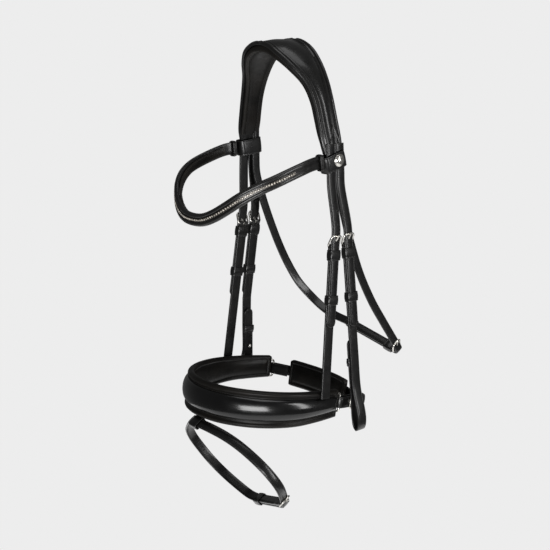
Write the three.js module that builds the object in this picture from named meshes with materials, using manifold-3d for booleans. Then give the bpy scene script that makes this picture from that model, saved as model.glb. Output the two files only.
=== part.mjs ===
// A full-size snaffle bridle with a padded flash noseband, as it hangs from its crown.
// Millimetres. +Z is up, +X is the horse's left (near) side and -Y is the front of the face.
// The origin is the middle of the crown's underside, where it rests behind the ears.

import * as THREE from "three";
import { mergeVertices } from "three/addons/utils/BufferGeometryUtils.js";
import Module from "manifold-3d";

const wasm = await Module();
wasm.setup();

// ---- driving dimensions ----

const GAP = 0.3; // between two pieces that touch
const STRAP_WIDTH = 14;
const STRAP_THICK = 3;
const BILLET_THICK = 2.4; // the punched end that passes through a buckle
const BAND_WALL = 1.2; // leather of a keeper loop

const WIRE = 1.1; // radius of a buckle's wire
const BAR_INSET = 0.6; // a heel bar lies this far inside the middle of its strap
const FOLD_WALL = 1.2; // skived leather that folds round the heel bar
const FRAME_RISE = 13; // from the heel bar up to the crossbar
const TONGUE_THICK = 1.6;
const TONGUE_WIDTH = 2;
const TONGUE_OVERHANG = 2.5; // tip past the crossbar
const TONGUE_SWING = 20; // degrees

const LOOP_TOP = -118; // browband loops, round the crown's ends
const LOOP_BOTTOM = -145;
const CROWN_END = -161; // where the crown's tongues become the free hanging straps
const STRAP_TOP = -163;

const NOSE_TOP = -425.6; // height of the noseband's top edge above the centre of the face
const NOSE_TILT = 0.15; // fall of that edge towards the jaw
const PAD_THICK = 8;
const COVER_THICK = 4.5;
const COVER_FOOT = 11; // how much of the pad shows below the cover

const LEATHER = { color: 0x1b1919, roughness: 0.5, metalness: 0 };
const SOFT_LEATHER = { color: 0x24211f, roughness: 0.62, metalness: 0 };
const PATENT = { color: 0x101010, roughness: 0.16, metalness: 0 };
const CHROME = { color: 0xd6d8da, roughness: 0.14, metalness: 1 };
const CRYSTAL = { color: 0xeef0f4, roughness: 0.05, metalness: 0.2 };

// ---- geometry helpers ----

const point = (x, y, z) => new THREE.Vector3(x, y, z);
const ACROSS = point(0, 1, 0);
const UP = point(0, 0, 1);

/** Turns every face of a closed geometry outwards. */
function facingOut(geometry) {
  const { array } = geometry.getAttribute("position");
  const index = Array.from(geometry.index.array);
  const corner = (i) => new THREE.Vector3().fromArray(array, index[i] * 3);
  let volume = 0;
  for (let i = 0; i < index.length; i += 3) volume += corner(i).dot(corner(i + 1).cross(corner(i + 2)));
  if (volume < 0) index.reverse();
  return geometry.setIndex(index);
}

/** A closed solid through rings of points; the first and last ring are capped unless it closes. */
function loft(rings, closes = false) {
  const sides = rings[0].length;
  const index = [];
  const spans = closes ? rings.length : rings.length - 1;
  for (let i = 0; i < spans; i++) {
    const here = i * sides;
    const next = ((i + 1) % rings.length) * sides;
    for (let j = 0; j < sides; j++) {
      const k = (j + 1) % sides;
      index.push(here + j, next + j, next + k, here + j, next + k, here + k);
    }
  }
  const end = (rings.length - 1) * sides;
  for (let j = 1; j < sides - 1 && !closes; j++) index.push(0, j, j + 1, end, end + j + 1, end + j);
  const geometry = new THREE.BufferGeometry().setFromPoints(rings.flat()).setIndex(index);
  return facingOut(geometry);
}

/** Sweeps a section of [across, outward] points along a smooth route. */
function sweep(route, section, across, stepsPerSpan = 3) {
  const curve = new THREE.CatmullRomCurve3(route, false, "centripetal");
  const count = (route.length - 1) * stepsPerSpan;
  const rings = [];
  for (let i = 0; i <= count; i++) {
    const at = curve.getPoint(i / count);
    const along = curve.getTangent(i / count);
    const wide = across.clone().addScaledVector(along, -across.dot(along)).normalize();
    const out = along.clone().cross(wide);
    const place = ([w, o]) => at.clone().addScaledVector(wide, w).addScaledVector(out, o);
    rings.push(section(i / count, at).map(place));
  }
  return loft(rings);
}

/** The section of a flat strap. */
const flat = (width, thick) => () => [
  [-width / 2, -thick / 2],
  [width / 2, -thick / 2],
  [width / 2, thick / 2],
  [-width / 2, thick / 2],
];

/** A section with bevelled edges, from across `low` to `high` and outward `inner` to `outer`. */
function bevelled(low, high, inner, outer, bevel) {
  return [
    [low + bevel, inner],
    [high - bevel, inner],
    [high, inner + bevel],
    [high, outer - bevel],
    [high - bevel, outer],
    [low + bevel, outer],
    [low, outer - bevel],
    [low, inner + bevel],
  ];
}

/** A round wire bent along a flat closed loop of points. */
function wireLoop(points, normal, radius, sides = 6) {
  const rings = points.map((at, i) => {
    const before = points[(i + points.length - 1) % points.length];
    const after = points[(i + 1) % points.length];
    const side = after.clone().sub(before).normalize().cross(normal);
    return Array.from({ length: sides }, (_, k) => {
      const turn = (k / sides) * 2 * Math.PI;
      return at
        .clone()
        .addScaledVector(normal, radius * Math.cos(turn))
        .addScaledVector(side, radius * Math.sin(turn));
    });
  });
  return loft(rings, true);
}

/** Points of a rectangle with round corners: [across, along] pairs about its near edge's middle. */
function roundedLoop(halfWidth, height, corner) {
  const centres = [
    [halfWidth - corner, height - corner, 0],
    [corner - halfWidth, height - corner, 90],
    [corner - halfWidth, corner, 180],
    [halfWidth - corner, corner, 270],
  ];
  return centres.flatMap(([y, s, from]) =>
    [0, 30, 60, 90].map((step) => {
      const turn = THREE.MathUtils.degToRad(from + step);
      return [y + corner * Math.cos(turn), s + corner * Math.sin(turn)];
    }),
  );
}

/** Extrudes an outline drawn in (outward, up) across a strap's width. */
function extrudeAcross(shape, width, curveSegments = 6) {
  return new THREE.ExtrudeGeometry(shape, { depth: width, bevelEnabled: false, curveSegments })
    .translate(0, 0, -width / 2)
    .rotateX(Math.PI / 2);
}

/** A rectangular band round a strap: outward low..high inside, and half the width inside. */
function band(low, high, halfWidth, height, wall = BAND_WALL) {
  const outline = (margin) => [
    new THREE.Vector2(low - margin, -halfWidth - margin),
    new THREE.Vector2(high + margin, -halfWidth - margin),
    new THREE.Vector2(high + margin, halfWidth + margin),
    new THREE.Vector2(low - margin, halfWidth + margin),
  ];
  const shape = new THREE.Shape(outline(wall));
  shape.holes.push(new THREE.Path(outline(0).reverse()));
  return new THREE.ExtrudeGeometry(shape, { depth: height, bevelEnabled: false }).translate(0, 0, -height / 2);
}

function toSolid(geometry) {
  const bare = geometry.clone();
  bare.deleteAttribute("normal");
  bare.deleteAttribute("uv");
  const merged = mergeVertices(bare, 1e-4);
  const vertProperties = new Float32Array(merged.getAttribute("position").array);
  const triVerts = new Uint32Array(merged.index.array);
  return new wasm.Manifold(new wasm.Mesh({ numProp: 3, vertProperties, triVerts }));
}

function toGeometry(solid) {
  const { vertProperties, triVerts } = solid.getMesh();
  return new THREE.BufferGeometry()
    .setAttribute("position", new THREE.BufferAttribute(vertProperties, 3))
    .setIndex(new THREE.BufferAttribute(triVerts, 1));
}

const join = (...parts) => toGeometry(parts.map(toSolid).reduce((a, b) => a.add(b)));
const cut = (body, ...tools) => toGeometry(tools.map(toSolid).reduce((a, b) => a.subtract(b), toSolid(body)));

const bridle = new THREE.Group();

function addMesh(parent, name, geometry, look) {
  const mesh = new THREE.Mesh(geometry, new THREE.MeshStandardMaterial(look));
  mesh.name = name;
  mesh.geometry.computeVertexNormals();
  parent.add(mesh);
}

/** A group whose z runs up the strap to its buckle, x faces away from the horse, y runs across. */
function strapFrame(bar, foot, outward) {
  const z = bar.clone().sub(foot).normalize();
  const x = outward.clone().addScaledVector(z, -outward.dot(z)).normalize();
  const y = z.clone().cross(x);
  const group = new THREE.Group();
  const turn = new THREE.Matrix4().makeBasis(x, y, z);
  group.quaternion.setFromRotationMatrix(turn);
  group.position.copy(bar);
  group.updateMatrix();
  bridle.add(group);
  return group;
}

const inFrame = (group, p) => p.clone().applyMatrix4(group.matrix.clone().invert());

// ---- buckles: all in a strap's frame, with the heel bar at z = 0 ----

const FOLD_RADIUS = WIRE + GAP + FOLD_WALL;
const BILLET_X = FOLD_RADIUS - BAR_INSET + GAP + BILLET_THICK / 2; // middle of the billet over its strap
const CROSSBAR_X = BILLET_X + BILLET_THICK / 2 + GAP + WIRE;
const FRAME_LEAN = Math.atan2(CROSSBAR_X + BAR_INSET, FRAME_RISE);
const FRAME_LENGTH = Math.hypot(CROSSBAR_X + BAR_INSET, FRAME_RISE);
const TONGUE_LEAN = FRAME_LEAN + Math.asin((WIRE + GAP + TONGUE_THICK / 2) / FRAME_LENGTH);
const BAND_LOW = -STRAP_THICK / 2 - GAP;
const BAND_HIGH = BILLET_X + BILLET_THICK / 2 + GAP;

/** The wire frame: heel bar, two rails that lean outwards, and the crossbar over the billet. */
function buckleFrame(width) {
  const lean = point(Math.sin(FRAME_LEAN), 0, Math.cos(FRAME_LEAN));
  const bar = point(-BAR_INSET, 0, 0);
  const loop = roundedLoop(width / 2 + GAP + WIRE, FRAME_LENGTH, 2).map(([y, s]) =>
    bar.clone().addScaledVector(ACROSS, y).addScaledVector(lean, s),
  );
  return wireLoop(loop, lean.clone().cross(ACROSS), WIRE);
}

/** The tongue: an eye round the heel bar and an arm that rests on the crossbar. */
function buckleTongue() {
  const eye = WIRE + GAP + 0.8;
  const half = TONGUE_THICK / 2;
  const reach = FRAME_LENGTH + WIRE + TONGUE_OVERHANG;
  const spread = Math.asin(half / eye);
  const aim = Math.PI / 2 - TONGUE_LEAN; // angle of the arm above the outward direction
  const dir = new THREE.Vector2(Math.cos(aim), Math.sin(aim));
  const side = new THREE.Vector2(-dir.y, dir.x);
  const tip = (along, off) => [-BAR_INSET + dir.x * along + side.x * off, dir.y * along + side.y * off];
  const shape = new THREE.Shape();
  shape.absarc(-BAR_INSET, 0, eye, aim + spread, aim - spread + 2 * Math.PI, false);
  shape.lineTo(...tip(reach - 1, -half));
  shape.lineTo(...tip(reach, -half / 2));
  shape.lineTo(...tip(reach, half / 2));
  shape.lineTo(...tip(reach - 1, half));
  const hole = new THREE.Path().absarc(-BAR_INSET, 0, WIRE + GAP, 0, 2 * Math.PI, true);
  shape.holes.push(hole);
  return extrudeAcross(shape, TONGUE_WIDTH, 5);
}

/** What the tongue sweeps on its way out, with room round it: it cuts the billet's hole. */
function tongueSweep() {
  const margin = TONGUE_THICK / 2 + 0.5;
  const reach = FRAME_LENGTH;
  const rest = Math.PI / 2 - TONGUE_LEAN;
  const raised = rest - THREE.MathUtils.degToRad(TONGUE_SWING);
  const at = (turn, along, off) =>
    new THREE.Vector2(
      -BAR_INSET + Math.cos(turn) * along - Math.sin(turn) * off,
      Math.sin(turn) * along + Math.cos(turn) * off,
    );
  const outline = [at(rest, 0, margin), at(raised, 0, -margin), at(raised, reach, -margin), at(rest, reach, margin)];
  return extrudeAcross(new THREE.Shape(outline), TONGUE_WIDTH + 1.4);
}

/** The end of a strap folded round the heel bar, slit for the tongue, with a straight run below. */
function foldedEnd(width, length) {
  const half = STRAP_THICK / 2;
  const right = Math.asin((half + BAR_INSET) / FOLD_RADIUS) - Math.PI / 2;
  const left = Math.PI + Math.PI / 2 - Math.asin((half - BAR_INSET) / FOLD_RADIUS);
  const shape = new THREE.Shape();
  shape.moveTo(-half, -length);
  shape.lineTo(half, -length);
  shape.absarc(-BAR_INSET, 0, FOLD_RADIUS, right, left, false);
  shape.holes.push(new THREE.Path().absarc(-BAR_INSET, 0, WIRE + GAP, 0, 2 * Math.PI, true));
  const slit = new THREE.BoxGeometry(12, TONGUE_WIDTH + 2 * GAP, 12).translate(0, 0, 6 - FOLD_RADIUS);
  return cut(extrudeAcross(shape, width), slit);
}

/**
 * A buckle joint between a strap and a billet: frame, tongue, keepers and both leathers.
 * `tail` is leather joined below the strap's end, and `turn` lays the frame along a billet from aside.
 */
function buckledPair(group, side, names, { width, length, tail, billet, keeper, runner, turn = 0 }) {
  const straight = foldedEnd(width, length);
  addMesh(group, names.strap, tail ? join(straight, tail) : straight, LEATHER);
  addMesh(group, names.billet, cut(billet, turned(tongueSweep(), turn)), LEATHER);
  addMesh(group, `${side}_buckle_frame`, turned(buckleFrame(width), turn), CHROME);
  addMesh(group, `${side}_buckle_tongue`, turned(buckleTongue(), turn), CHROME);
  const half = width / 2 + GAP;
  addMesh(group, `${side}_fixed_keeper`, loopAt(half, keeper), LEATHER);
  if (runner) addMesh(group, `${side}_runner`, loopAt(half, runner), LEATHER);
}

const loopAt = (half, { z, height }) => band(BAND_LOW, BAND_HIGH, half, height).translate(0, 0, z);

// ---- crown ----

/** The crown's outer face from the side to the top; `dip` lowers its front edge. */
const CROWN_OUTLINE = [
  { x: 85.6, front: 10, rear: 38, z: -116, dip: 0 },
  { x: 84, front: 5.5, rear: 38.5, z: -105, dip: 0 },
  { x: 78.5, front: 2, rear: 36.5, z: -80, dip: 0 },
  { x: 72, front: 0, rear: 35.5, z: -56, dip: 0 },
  { x: 63, front: -5, rear: 35.5, z: -34, dip: 1 },
  { x: 50, front: -16, rear: 35.5, z: -13, dip: 3 },
  { x: 33, front: -25, rear: 35.5, z: 4, dip: 4 },
  { x: 13, front: -27, rear: 35, z: 13, dip: 3 },
];

/** The crown's middle line from the off side over the poll to the near side. */
function crownStations() {
  const far = CROWN_OUTLINE.map((s) => ({ ...s, x: -s.x }));
  return [...far, ...CROWN_OUTLINE.toReversed()];
}

/** A layer of the crown between depths below its outer face, drawn in from its edges. */
function crownLayer(top, bottomAt, inset, keep) {
  const stations = crownStations().filter(keep);
  const frontEdge = stations.map((s) => point(s.x, s.front + inset, s.z - s.dip));
  const rearEdge = stations.map((s) => point(s.x, s.rear - inset, s.z));
  const front = new THREE.CatmullRomCurve3(frontEdge, false, "centripetal");
  const rear = new THREE.CatmullRomCurve3(rearEdge, false, "centripetal");
  const count = (stations.length - 1) * 2;
  const rings = [];
  for (let i = 0; i <= count; i++) {
    const t = i / count;
    const along = front.getTangent(t).add(rear.getTangent(t)).normalize();
    const down = ACROSS.clone().cross(along).negate();
    if (down.z > 0 || (Math.abs(down.z) < 0.1 && down.x * front.getPoint(t).x > 0)) down.negate();
    const at = (curve, depth, inward) => curve.getPoint(t).addScaledVector(down, depth).add(point(0, inward, 0));
    const bottom = bottomAt(front.getPoint(t).x);
    const round = (bottom - top) / 3;
    rings.push([
      at(front, top, round),
      at(rear, top, -round),
      at(rear, top + round, 0),
      at(rear, bottom - round, 0),
      at(rear, bottom, -round),
      at(front, bottom, round),
      at(front, bottom - round, 0),
      at(front, top + round, 0),
    ]);
  }
  return loft(rings);
}

/** One of the crown's tongues that run down through a browband loop. */
function crownTongue(side, topY, endY, inset, width) {
  const x = (z) => side * (hangX(z) - inset);
  const route = [point(x(TONGUE_ROOT) - side * 1.5, topY, TONGUE_ROOT), point(x(CROWN_END), endY, CROWN_END)];
  return sweep(route, flat(width, BILLET_THICK), ACROSS, 1);
}

/** Distance from the middle plane at which the side straps hang. */
const hangX = (z) => 81.5 - 0.05 * z;

const COVER_DEPTH = 4;
const SEAT_LENGTH = 24; // flat rest under the top of the crown
const SEAT_WIDTH = 46;
const TONGUE_ROOT = -104;
const THROAT_INSET = 6.5;
const THROAT_TOP_Y = 33.5;
const THROAT_WIDTH = 12;

function addCrown() {
  const cover = [crownLayer(0, () => COVER_DEPTH, 0, () => true)];
  for (const side of [1, -1]) {
    cover.push(crownTongue(side, 17, 17.5, 0, STRAP_WIDTH - 1.4));
    cover.push(crownTongue(side, 31.5, 32.5, 0, STRAP_WIDTH - 1.4));
    cover.push(crownTongue(side, 31.5, THROAT_TOP_Y, THROAT_INSET, THROAT_WIDTH - 1));
  }
  addMesh(bridle, "crown_cover", join(...cover), LEATHER);
  const pad = crownLayer(COVER_DEPTH + GAP, (x) => 13.2 - 0.05 * Math.abs(x), 2.5, (s) => s.z > -100);
  const seat = new THREE.BoxGeometry(SEAT_LENGTH, SEAT_WIDTH, 4).translate(0, 4, 2);
  const below = new THREE.BoxGeometry(2 * SEAT_LENGTH, 90, 20).translate(0, 4, -10);
  addMesh(bridle, "crown_pad", cut(join(pad, seat), below), SOFT_LEATHER);
}

// ---- browband ----

const BROW_HALF = [
  [87.9, 4, -131],
  [89.5, -12, -132],
  [90, -37, -138],
  [87, -69, -148],
  [78, -90, -157],
  [66, -106, -168],
  [52, -117, -180],
  [37, -124, -190],
  [20, -128, -197],
];
const BROW_FRONT = [0, -129.5, -199];
const BROW_HEIGHT = 16;
const LOOP_FRONT = 6.5;
const LOOP_REAR = 39.2;
const LOOP_X = 84.7; // middle of the loop's space
const LOOP_HALF = 6.8;
const LOOP_WALL = 1.6;

function browRoute(push = 0) {
  const mirror = BROW_HALF.map(([x, y, z]) => [-x, y, z]);
  const points = [...mirror, BROW_FRONT, ...BROW_HALF.toReversed()].map((p) => point(...p));
  const curve = new THREE.CatmullRomCurve3(points, false, "centripetal");
  return points.map((p, i) => {
    const along = curve.getTangent(i / (points.length - 1));
    return p.addScaledVector(UP.clone().cross(along).normalize(), -push);
  });
}

function addBrowband() {
  const padded = () => bevelled(-BROW_HEIGHT / 2, BROW_HEIGHT / 2, -2.5, 3, 2.2);
  addMesh(bridle, "browband_strap", sweep(browRoute(), padded, UP, 2), LEATHER);
  const lining = () => bevelled(-5.5, 5.5, -1.2, 1.2, 0.6);
  addMesh(bridle, "browband_lining", sweep(browRoute(-4.2).slice(1, -1), lining, UP, 2), SOFT_LEATHER);
  const channel = () => bevelled(-2.2, 2.2, -1, 1, 0.6);
  addMesh(bridle, "browband_crystal_row", sweep(browRoute(4.4).slice(2, -2), channel, UP, 3), CRYSTAL);

  for (const [name, side] of [["near", 1], ["off", -1]]) {
    const middle = (LOOP_TOP + LOOP_BOTTOM) / 2;
    const halfLength = (LOOP_REAR - LOOP_FRONT) / 2;
    const group = new THREE.Group();
    group.position.set(0, (LOOP_REAR + LOOP_FRONT) / 2, middle);
    bridle.add(group);
    const loop = band(-LOOP_HALF, LOOP_HALF, halfLength, LOOP_TOP - LOOP_BOTTOM, LOOP_WALL);
    addMesh(group, `${name}_browband_loop`, loop.translate(side * LOOP_X, 0, 0), LEATHER);
    const keeper = band(-3.4, 3.9, BROW_HEIGHT / 2 + 0.6, 6.5, BAND_WALL).rotateX(Math.PI / 2);
    if (side < 0) keeper.rotateZ(Math.PI);
    keeper.translate(side * 88.3, -1.2, -131.3);
    addMesh(bridle, `${name}_browband_keeper`, keeper, LEATHER);
  }
}

/** A plain domed stud on the near loop. */
function addStud() {
  const dome = [[0, 0], [10, 0], [10, 1], [8.4, 2.6], [5, 3.7], [0, 4.2]].map(([r, h]) => new THREE.Vector2(r, h));
  const stud = new THREE.LatheGeometry(dome, 20).rotateZ(-Math.PI / 2).translate(LOOP_X + LOOP_HALF + LOOP_WALL + GAP, 25, -131);
  addMesh(bridle, "browband_stud", facingOut(mergeVertices(bare(stud), 1e-4)), CHROME);
}

function bare(geometry) {
  geometry.deleteAttribute("normal");
  geometry.deleteAttribute("uv");
  return geometry;
}

// ---- cheekpieces and noseband hangers ----

const RUNNER = { z: -69, height: 12 };
const FIXED_KEEPER = { z: -11.5, height: 13 };

/** Each side's strap lines: heel bar, the foot of the straight run, and the billet's top. */
const CHEEKS = {
  near: { side: 1, bar: [90.4, 44, -238], foot: [97, 47, -320], top: 32.6, tip: -108, bow: 0, lift: 0 },
  off: { side: -1, bar: [-90.4, 37.5, -236], foot: [-97, 30.8, -320], top: 33.5, tip: -106, bow: 0.135, lift: 14 },
};
const HANGERS = {
  near: { side: 1, bar: [90.4, 21, -238], foot: [101.2, 0.6, -434], top: 17.6, tip: -104 },
  off: { side: -1, bar: [-90.4, 16.5, -236], foot: [-101.2, -5, -434], top: 17.6, tip: -104 },
};

/** A billet from its top at the crown's end, down through the buckle, to its tip. */
function billetDown(group, side, topY, tip, width) {
  const top = inFrame(group, point(side * hangX(STRAP_TOP), topY, STRAP_TOP));
  const bend = point(BILLET_X, 0, 16);
  const route = [top, bend, point(BILLET_X, 0, 0), point(BILLET_X, 0, tip)];
  const rings = route.map((at, i) => {
    const half = i === 3 ? width / 2 - 3.5 : width / 2;
    const half2 = BILLET_THICK / 2;
    return [[-half2, -half], [half2, -half], [half2, half], [-half2, half]].map(([x, y]) =>
      point(at.x + x, at.y + y, at.z),
    );
  });
  return loft(rings);
}

// The bit end: the strap turns up inside itself and hooks on a stud.
const INNER_THICK = 2.5;
const INNER_X = -(STRAP_THICK / 2 + GAP + BAND_WALL + GAP + INNER_THICK / 2);
const INNER_TIP = -127;
const STUD_Z = -182;
const BIT_KEEPER = { z: -157, height: 10 };
const BIT_BEND = -115; // the off strap leans back from here down

/** The strap below its straight run: down, round the bit's loop and up the inside. */
function bitEnd(length, bow, lift) {
  const outline = [
    [0, -length + 1],
    [0, -150],
    [0, -188],
    [2, -204 + lift / 2],
    [5.6, -220 + lift],
    [6.9, -234 + lift],
    [4.8, -244.5 + lift],
    [0.9, -249 + lift],
    [-3, -245 + lift],
    [-4.8, -234 + lift],
    [INNER_X, -214 + lift],
    [INNER_X, -188],
    [INNER_X, -150],
    [INNER_X, INNER_TIP],
  ];
  const lean = (z) => bow * Math.max(0, BIT_BEND - z);
  const route = outline.map(([x, z]) => point(x, -lean(z), z));
  const thin = (t) => flat(STRAP_WIDTH, t > 0.5 ? INNER_THICK : STRAP_THICK)();
  return { body: sweep(route, thin, ACROSS, 2), lean };
}

/** A hook stud on the strap's inner face, with its neck through the turned-up end. */
function hookStud() {
  const profile = [
    [0, 0],
    [3, 0],
    [3, 1],
    [1.4, 1.2],
    [1.4, 4.6],
    [2.6, 5],
    [2.6, 6.4],
    [1.6, 7.2],
    [0, 7.4],
  ].map(([r, h]) => new THREE.Vector2(r, h));
  const stud = new THREE.LatheGeometry(profile, 12).rotateZ(Math.PI / 2);
  return facingOut(mergeVertices(bare(stud), 1e-4)).translate(-STRAP_THICK / 2 - GAP, 0, 0);
}

function addCheekpiece(name, { side, bar, foot, top, tip, bow, lift }) {
  const group = strapFrame(point(...bar), point(...foot), point(side, 0, 0));
  const length = 114;
  const { body, lean } = bitEnd(length, -bow * side, lift);
  const studHole = new THREE.CylinderGeometry(1.9, 1.9, 5, 10).rotateZ(Math.PI / 2);
  studHole.translate(INNER_X, -lean(STUD_Z), STUD_Z);
  buckledPair(group, `${name}_cheek`, { strap: `${name}_cheek_strap`, billet: `${name}_cheek_billet` }, {
    width: STRAP_WIDTH,
    length,
    tail: cut(body, studHole),
    billet: billetDown(group, side, top, tip, STRAP_WIDTH),
    keeper: FIXED_KEEPER,
    runner: RUNNER,
  });
  addMesh(group, `${name}_bit_hook_stud`, hookStud().translate(0, -lean(STUD_Z), STUD_Z), CHROME);
  const loop = band(INNER_X - INNER_THICK / 2 - GAP, INNER_X + INNER_THICK / 2 + GAP, 7.4, BIT_KEEPER.height);
  loop.rotateX(Math.atan(bow * side));
  addMesh(group, `${name}_bit_keeper`, loop.translate(0, -lean(BIT_KEEPER.z), BIT_KEEPER.z), LEATHER);
}

function addHanger(name, { side, bar, foot, top, tip }) {
  const group = strapFrame(point(...bar), point(...foot), point(side, 0, 0));
  buckledPair(group, `${name}_hanger`, { strap: `${name}_hanger_strap`, billet: `${name}_noseband_billet` }, {
    width: STRAP_WIDTH,
    length: point(...bar).distanceTo(point(...foot)),
    billet: billetDown(group, side, top, tip, STRAP_WIDTH),
    keeper: FIXED_KEEPER,
    runner: RUNNER,
  });
}

// ---- noseband ----

const NOSE_UP = point(0, NOSE_TILT, 1).normalize();
const noseTop = (y) => NOSE_TOP - NOSE_TILT * y;
const onNose = ([x, y]) => point(x, y, noseTop(y));
/** A point of the chin's leathers, at the middle of their depth. */
const onChin = ([x, y]) => onNose([x, y]).addScaledVector(NOSE_UP, -CHIN_DROP);

/** Plan of the wall between pad and cover, and its depth, from the off end round the nose. */
const NOSE_PLAN = [
  [-87, 59, 32],
  [-93, 32, 34],
  [-96, 0, 36],
  [-93, -34, 40],
  [-82, -66, 44],
  [-63, -94, 47],
  [-35, -115, 49],
  [0, -124, 49],
  [35, -117, 49],
  [63, -95, 49],
  [82, -67, 48],
  [93, -34, 46],
  [96, 0, 42],
  [94.5, 32, 38],
];
const JAW_PLAN = [
  [-56, 76],
  [-28, 82],
  [0, 85],
  [30, 84],
  [58, 78],
];
const JAW_DEPTH = 38;
const JAW_THICK = 8;
const CHIN_DROP = 19;
const CHIN_WIDTH = 15;
const RING = { height: 24, length: 11, wire: 1.4, corner: 3 };
const RING_BARS = {
  near: [[90.6, 27.5], [90.2, 38.5]],
  off: [[-84.2, 54.5], [-82, 65.4]],
};

function addNoseband() {
  const wall = NOSE_PLAN.map(onNose);
  const depths = new THREE.CatmullRomCurve3(NOSE_PLAN.map((p) => point(...p)), false, "centripetal");
  const depth = (t) => depths.getPoint(t).z;
  const padSection = (t) => bevelled(-depth(t), 0, -PAD_THICK, -GAP / 2, 2.4);
  const rings = { near: noseRing(RING_BARS.near), off: noseRing(RING_BARS.off) };
  const pad = sweep(wall, padSection, NOSE_UP, 2);
  addMesh(bridle, "noseband_pad", cut(pad, rings.near.clearance, rings.off.clearance), SOFT_LEATHER);
  const coverSection = (t) => bevelled(-depth(t) + COVER_FOOT, -9.5, GAP / 2, COVER_THICK, 1.8);
  addMesh(bridle, "noseband_cover", sweep(wall, coverSection, NOSE_UP, 2), PATENT);
  addMesh(bridle, "near_noseband_ring", rings.near.ring, CHROME);
  addMesh(bridle, "off_noseband_ring", rings.off.ring, CHROME);
  const jawSection = () => bevelled(-JAW_DEPTH, 0, -JAW_THICK / 2, JAW_THICK / 2, 2.2);
  addMesh(bridle, "jaw_pad", sweep(JAW_PLAN.map(onNose), jawSection, NOSE_UP, 2), SOFT_LEATHER);
}

/** A rectangular ring at an end of the noseband, with one bar inside the pad's end. */
function noseRing([barPlan, farPlan]) {
  const bar = onChin(barPlan);
  const along = onChin(farPlan).sub(bar).normalize();
  const normal = along.clone().cross(NOSE_UP).normalize();
  const loop = roundedLoop(RING.height / 2, RING.length, RING.corner).map(([h, s]) =>
    bar.clone().addScaledVector(NOSE_UP, h).addScaledVector(along, s),
  );
  return { ring: wireLoop(loop, normal, RING.wire), clearance: wireLoop(loop, normal, RING.wire + 0.5) };
}

// ---- chin strap ----

const CHIN_BUCKLE = [88.2, 66];
const CHIN_INNER_X = -3.2; // the layer that runs inside the buckle, in the buckle's frame
const CHIN_KEEPER = { z: -8.5, height: 7 };
const CHAPE_LENGTH = 13;

/** Points of a strap's turn round a bar, from its inner run to its outer run. */
function turnRound(bar, from, to, radius) {
  return [0, 0.25, 0.5, 0.75, 1].map((s) => {
    const turn = THREE.MathUtils.degToRad(from + (to - from) * s);
    return [bar[0] + radius * Math.cos(turn), bar[1] + radius * Math.sin(turn)];
  });
}

/** The strap starts at the jaw pad's off end, doubles back through both rings, and is buckled. */
function addChinStrap() {
  const bar = onChin(CHIN_BUCKLE);
  const group = strapFrame(bar, bar.clone().multiplyScalar(2).sub(onChin(RING_BARS.near[1])), point(1, 0, 0));
  const radius = (BILLET_X - CHIN_INNER_X) / 2;
  const offTurn = turnRound(RING_BARS.off[1], -66, -246, radius);
  const nearTurn = turnRound(RING_BARS.near[1], 184, 364, radius);
  const rear = [
    [-70, 75.4],
    [-57.2, 81.6],
    [-28.8, 87.8],
    [0, 90.8],
    [30.5, 89.8],
    [58, 84],
    [72, 78],
    [81, 70.5],
    [85, 62],
  ];
  const plan = [[-59, 73.5], [-68, 68.4], ...offTurn, ...rear, ...nearTurn];
  const route = plan.map((p) => inFrame(group, onChin(p)));
  for (const z of [13, 0, -9, -19]) route.push(point(BILLET_X - Math.max(0, -z - 9) * 0.12, 0, z));
  const strap = sweep(route, flat(CHIN_WIDTH, BILLET_THICK), ACROSS, 2);
  const tail = sweep([point(0, 0, 1 - CHAPE_LENGTH), point(-0.8, 0, -20)], flat(CHIN_WIDTH, STRAP_THICK), ACROSS, 1);
  buckledPair(group, "chin", { strap: "chin_chape", billet: "chin_strap" }, {
    width: CHIN_WIDTH,
    length: CHAPE_LENGTH,
    tail,
    billet: strap,
    keeper: CHIN_KEEPER,
  });
}

// ---- straps that wrap back over their own buckle: throatlatch and flash ----

const WRAP_RADIUS = BILLET_X + BAR_INSET;

/** How far a billet that comes from a point inside turns round the heel bar, and its frame with it. */
function turnFrom({ x, z }) {
  const toBar = Math.atan2(-z, -BAR_INSET - x);
  return toBar + Math.asin(WRAP_RADIUS / Math.hypot(x + BAR_INSET, z)) + Math.PI / 2;
}

/** The billet's way straight through the turned frame, round the heel bar and down over the strap. */
function wrapOver(turn, tip) {
  const round = (angle, before = 0) =>
    point(
      -BAR_INSET + WRAP_RADIUS * Math.cos(angle) - before * Math.sin(angle),
      0,
      WRAP_RADIUS * Math.sin(angle) + before * Math.cos(angle),
    );
  const arc = [1, 0.66, 0.33, 0].map((s) => round(turn * s));
  return [round(turn, FRAME_RISE), ...arc, point(BILLET_X, 0, -12), point(BILLET_X, 0, tip)];
}

/** A part of the buckle, turned about the heel bar. */
const turned = (geometry, turn) => geometry.translate(BAR_INSET, 0, 0).rotateY(-turn).translate(-BAR_INSET, 0, 0);

const THROAT_BAR = [80, 150, -402];
const THROAT_RUN = [-0.936, -0.205, 0.285]; // the strap's direction away from its buckle
const THROAT_OUT = [-0.42, 0.47, -0.77];
const THROAT_LENGTH = 90;
const THROAT_OFF_ROUTE = [
  [-22, 130.6, -371.8],
  [-44, 128.6, -364],
  [-65, 119.7, -346],
  [-77, 106, -328],
  [-81.5, 90, -303],
  [-82.5, 75, -274],
  [-82.5, 60, -241],
  [-82.5, 46, -206],
  [-83, 38.5, -182],
  [-83.2, 34.5, -165],
];
const THROAT_NEAR_ROUTE = [
  [83.2, 34.5, -165],
  [83, 38.5, -180],
  [82.5, 46.5, -205],
  [82, 58.5, -240],
  [82, 76.5, -285],
  [82, 99, -326],
  [81.5, 122, -359],
];

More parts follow.
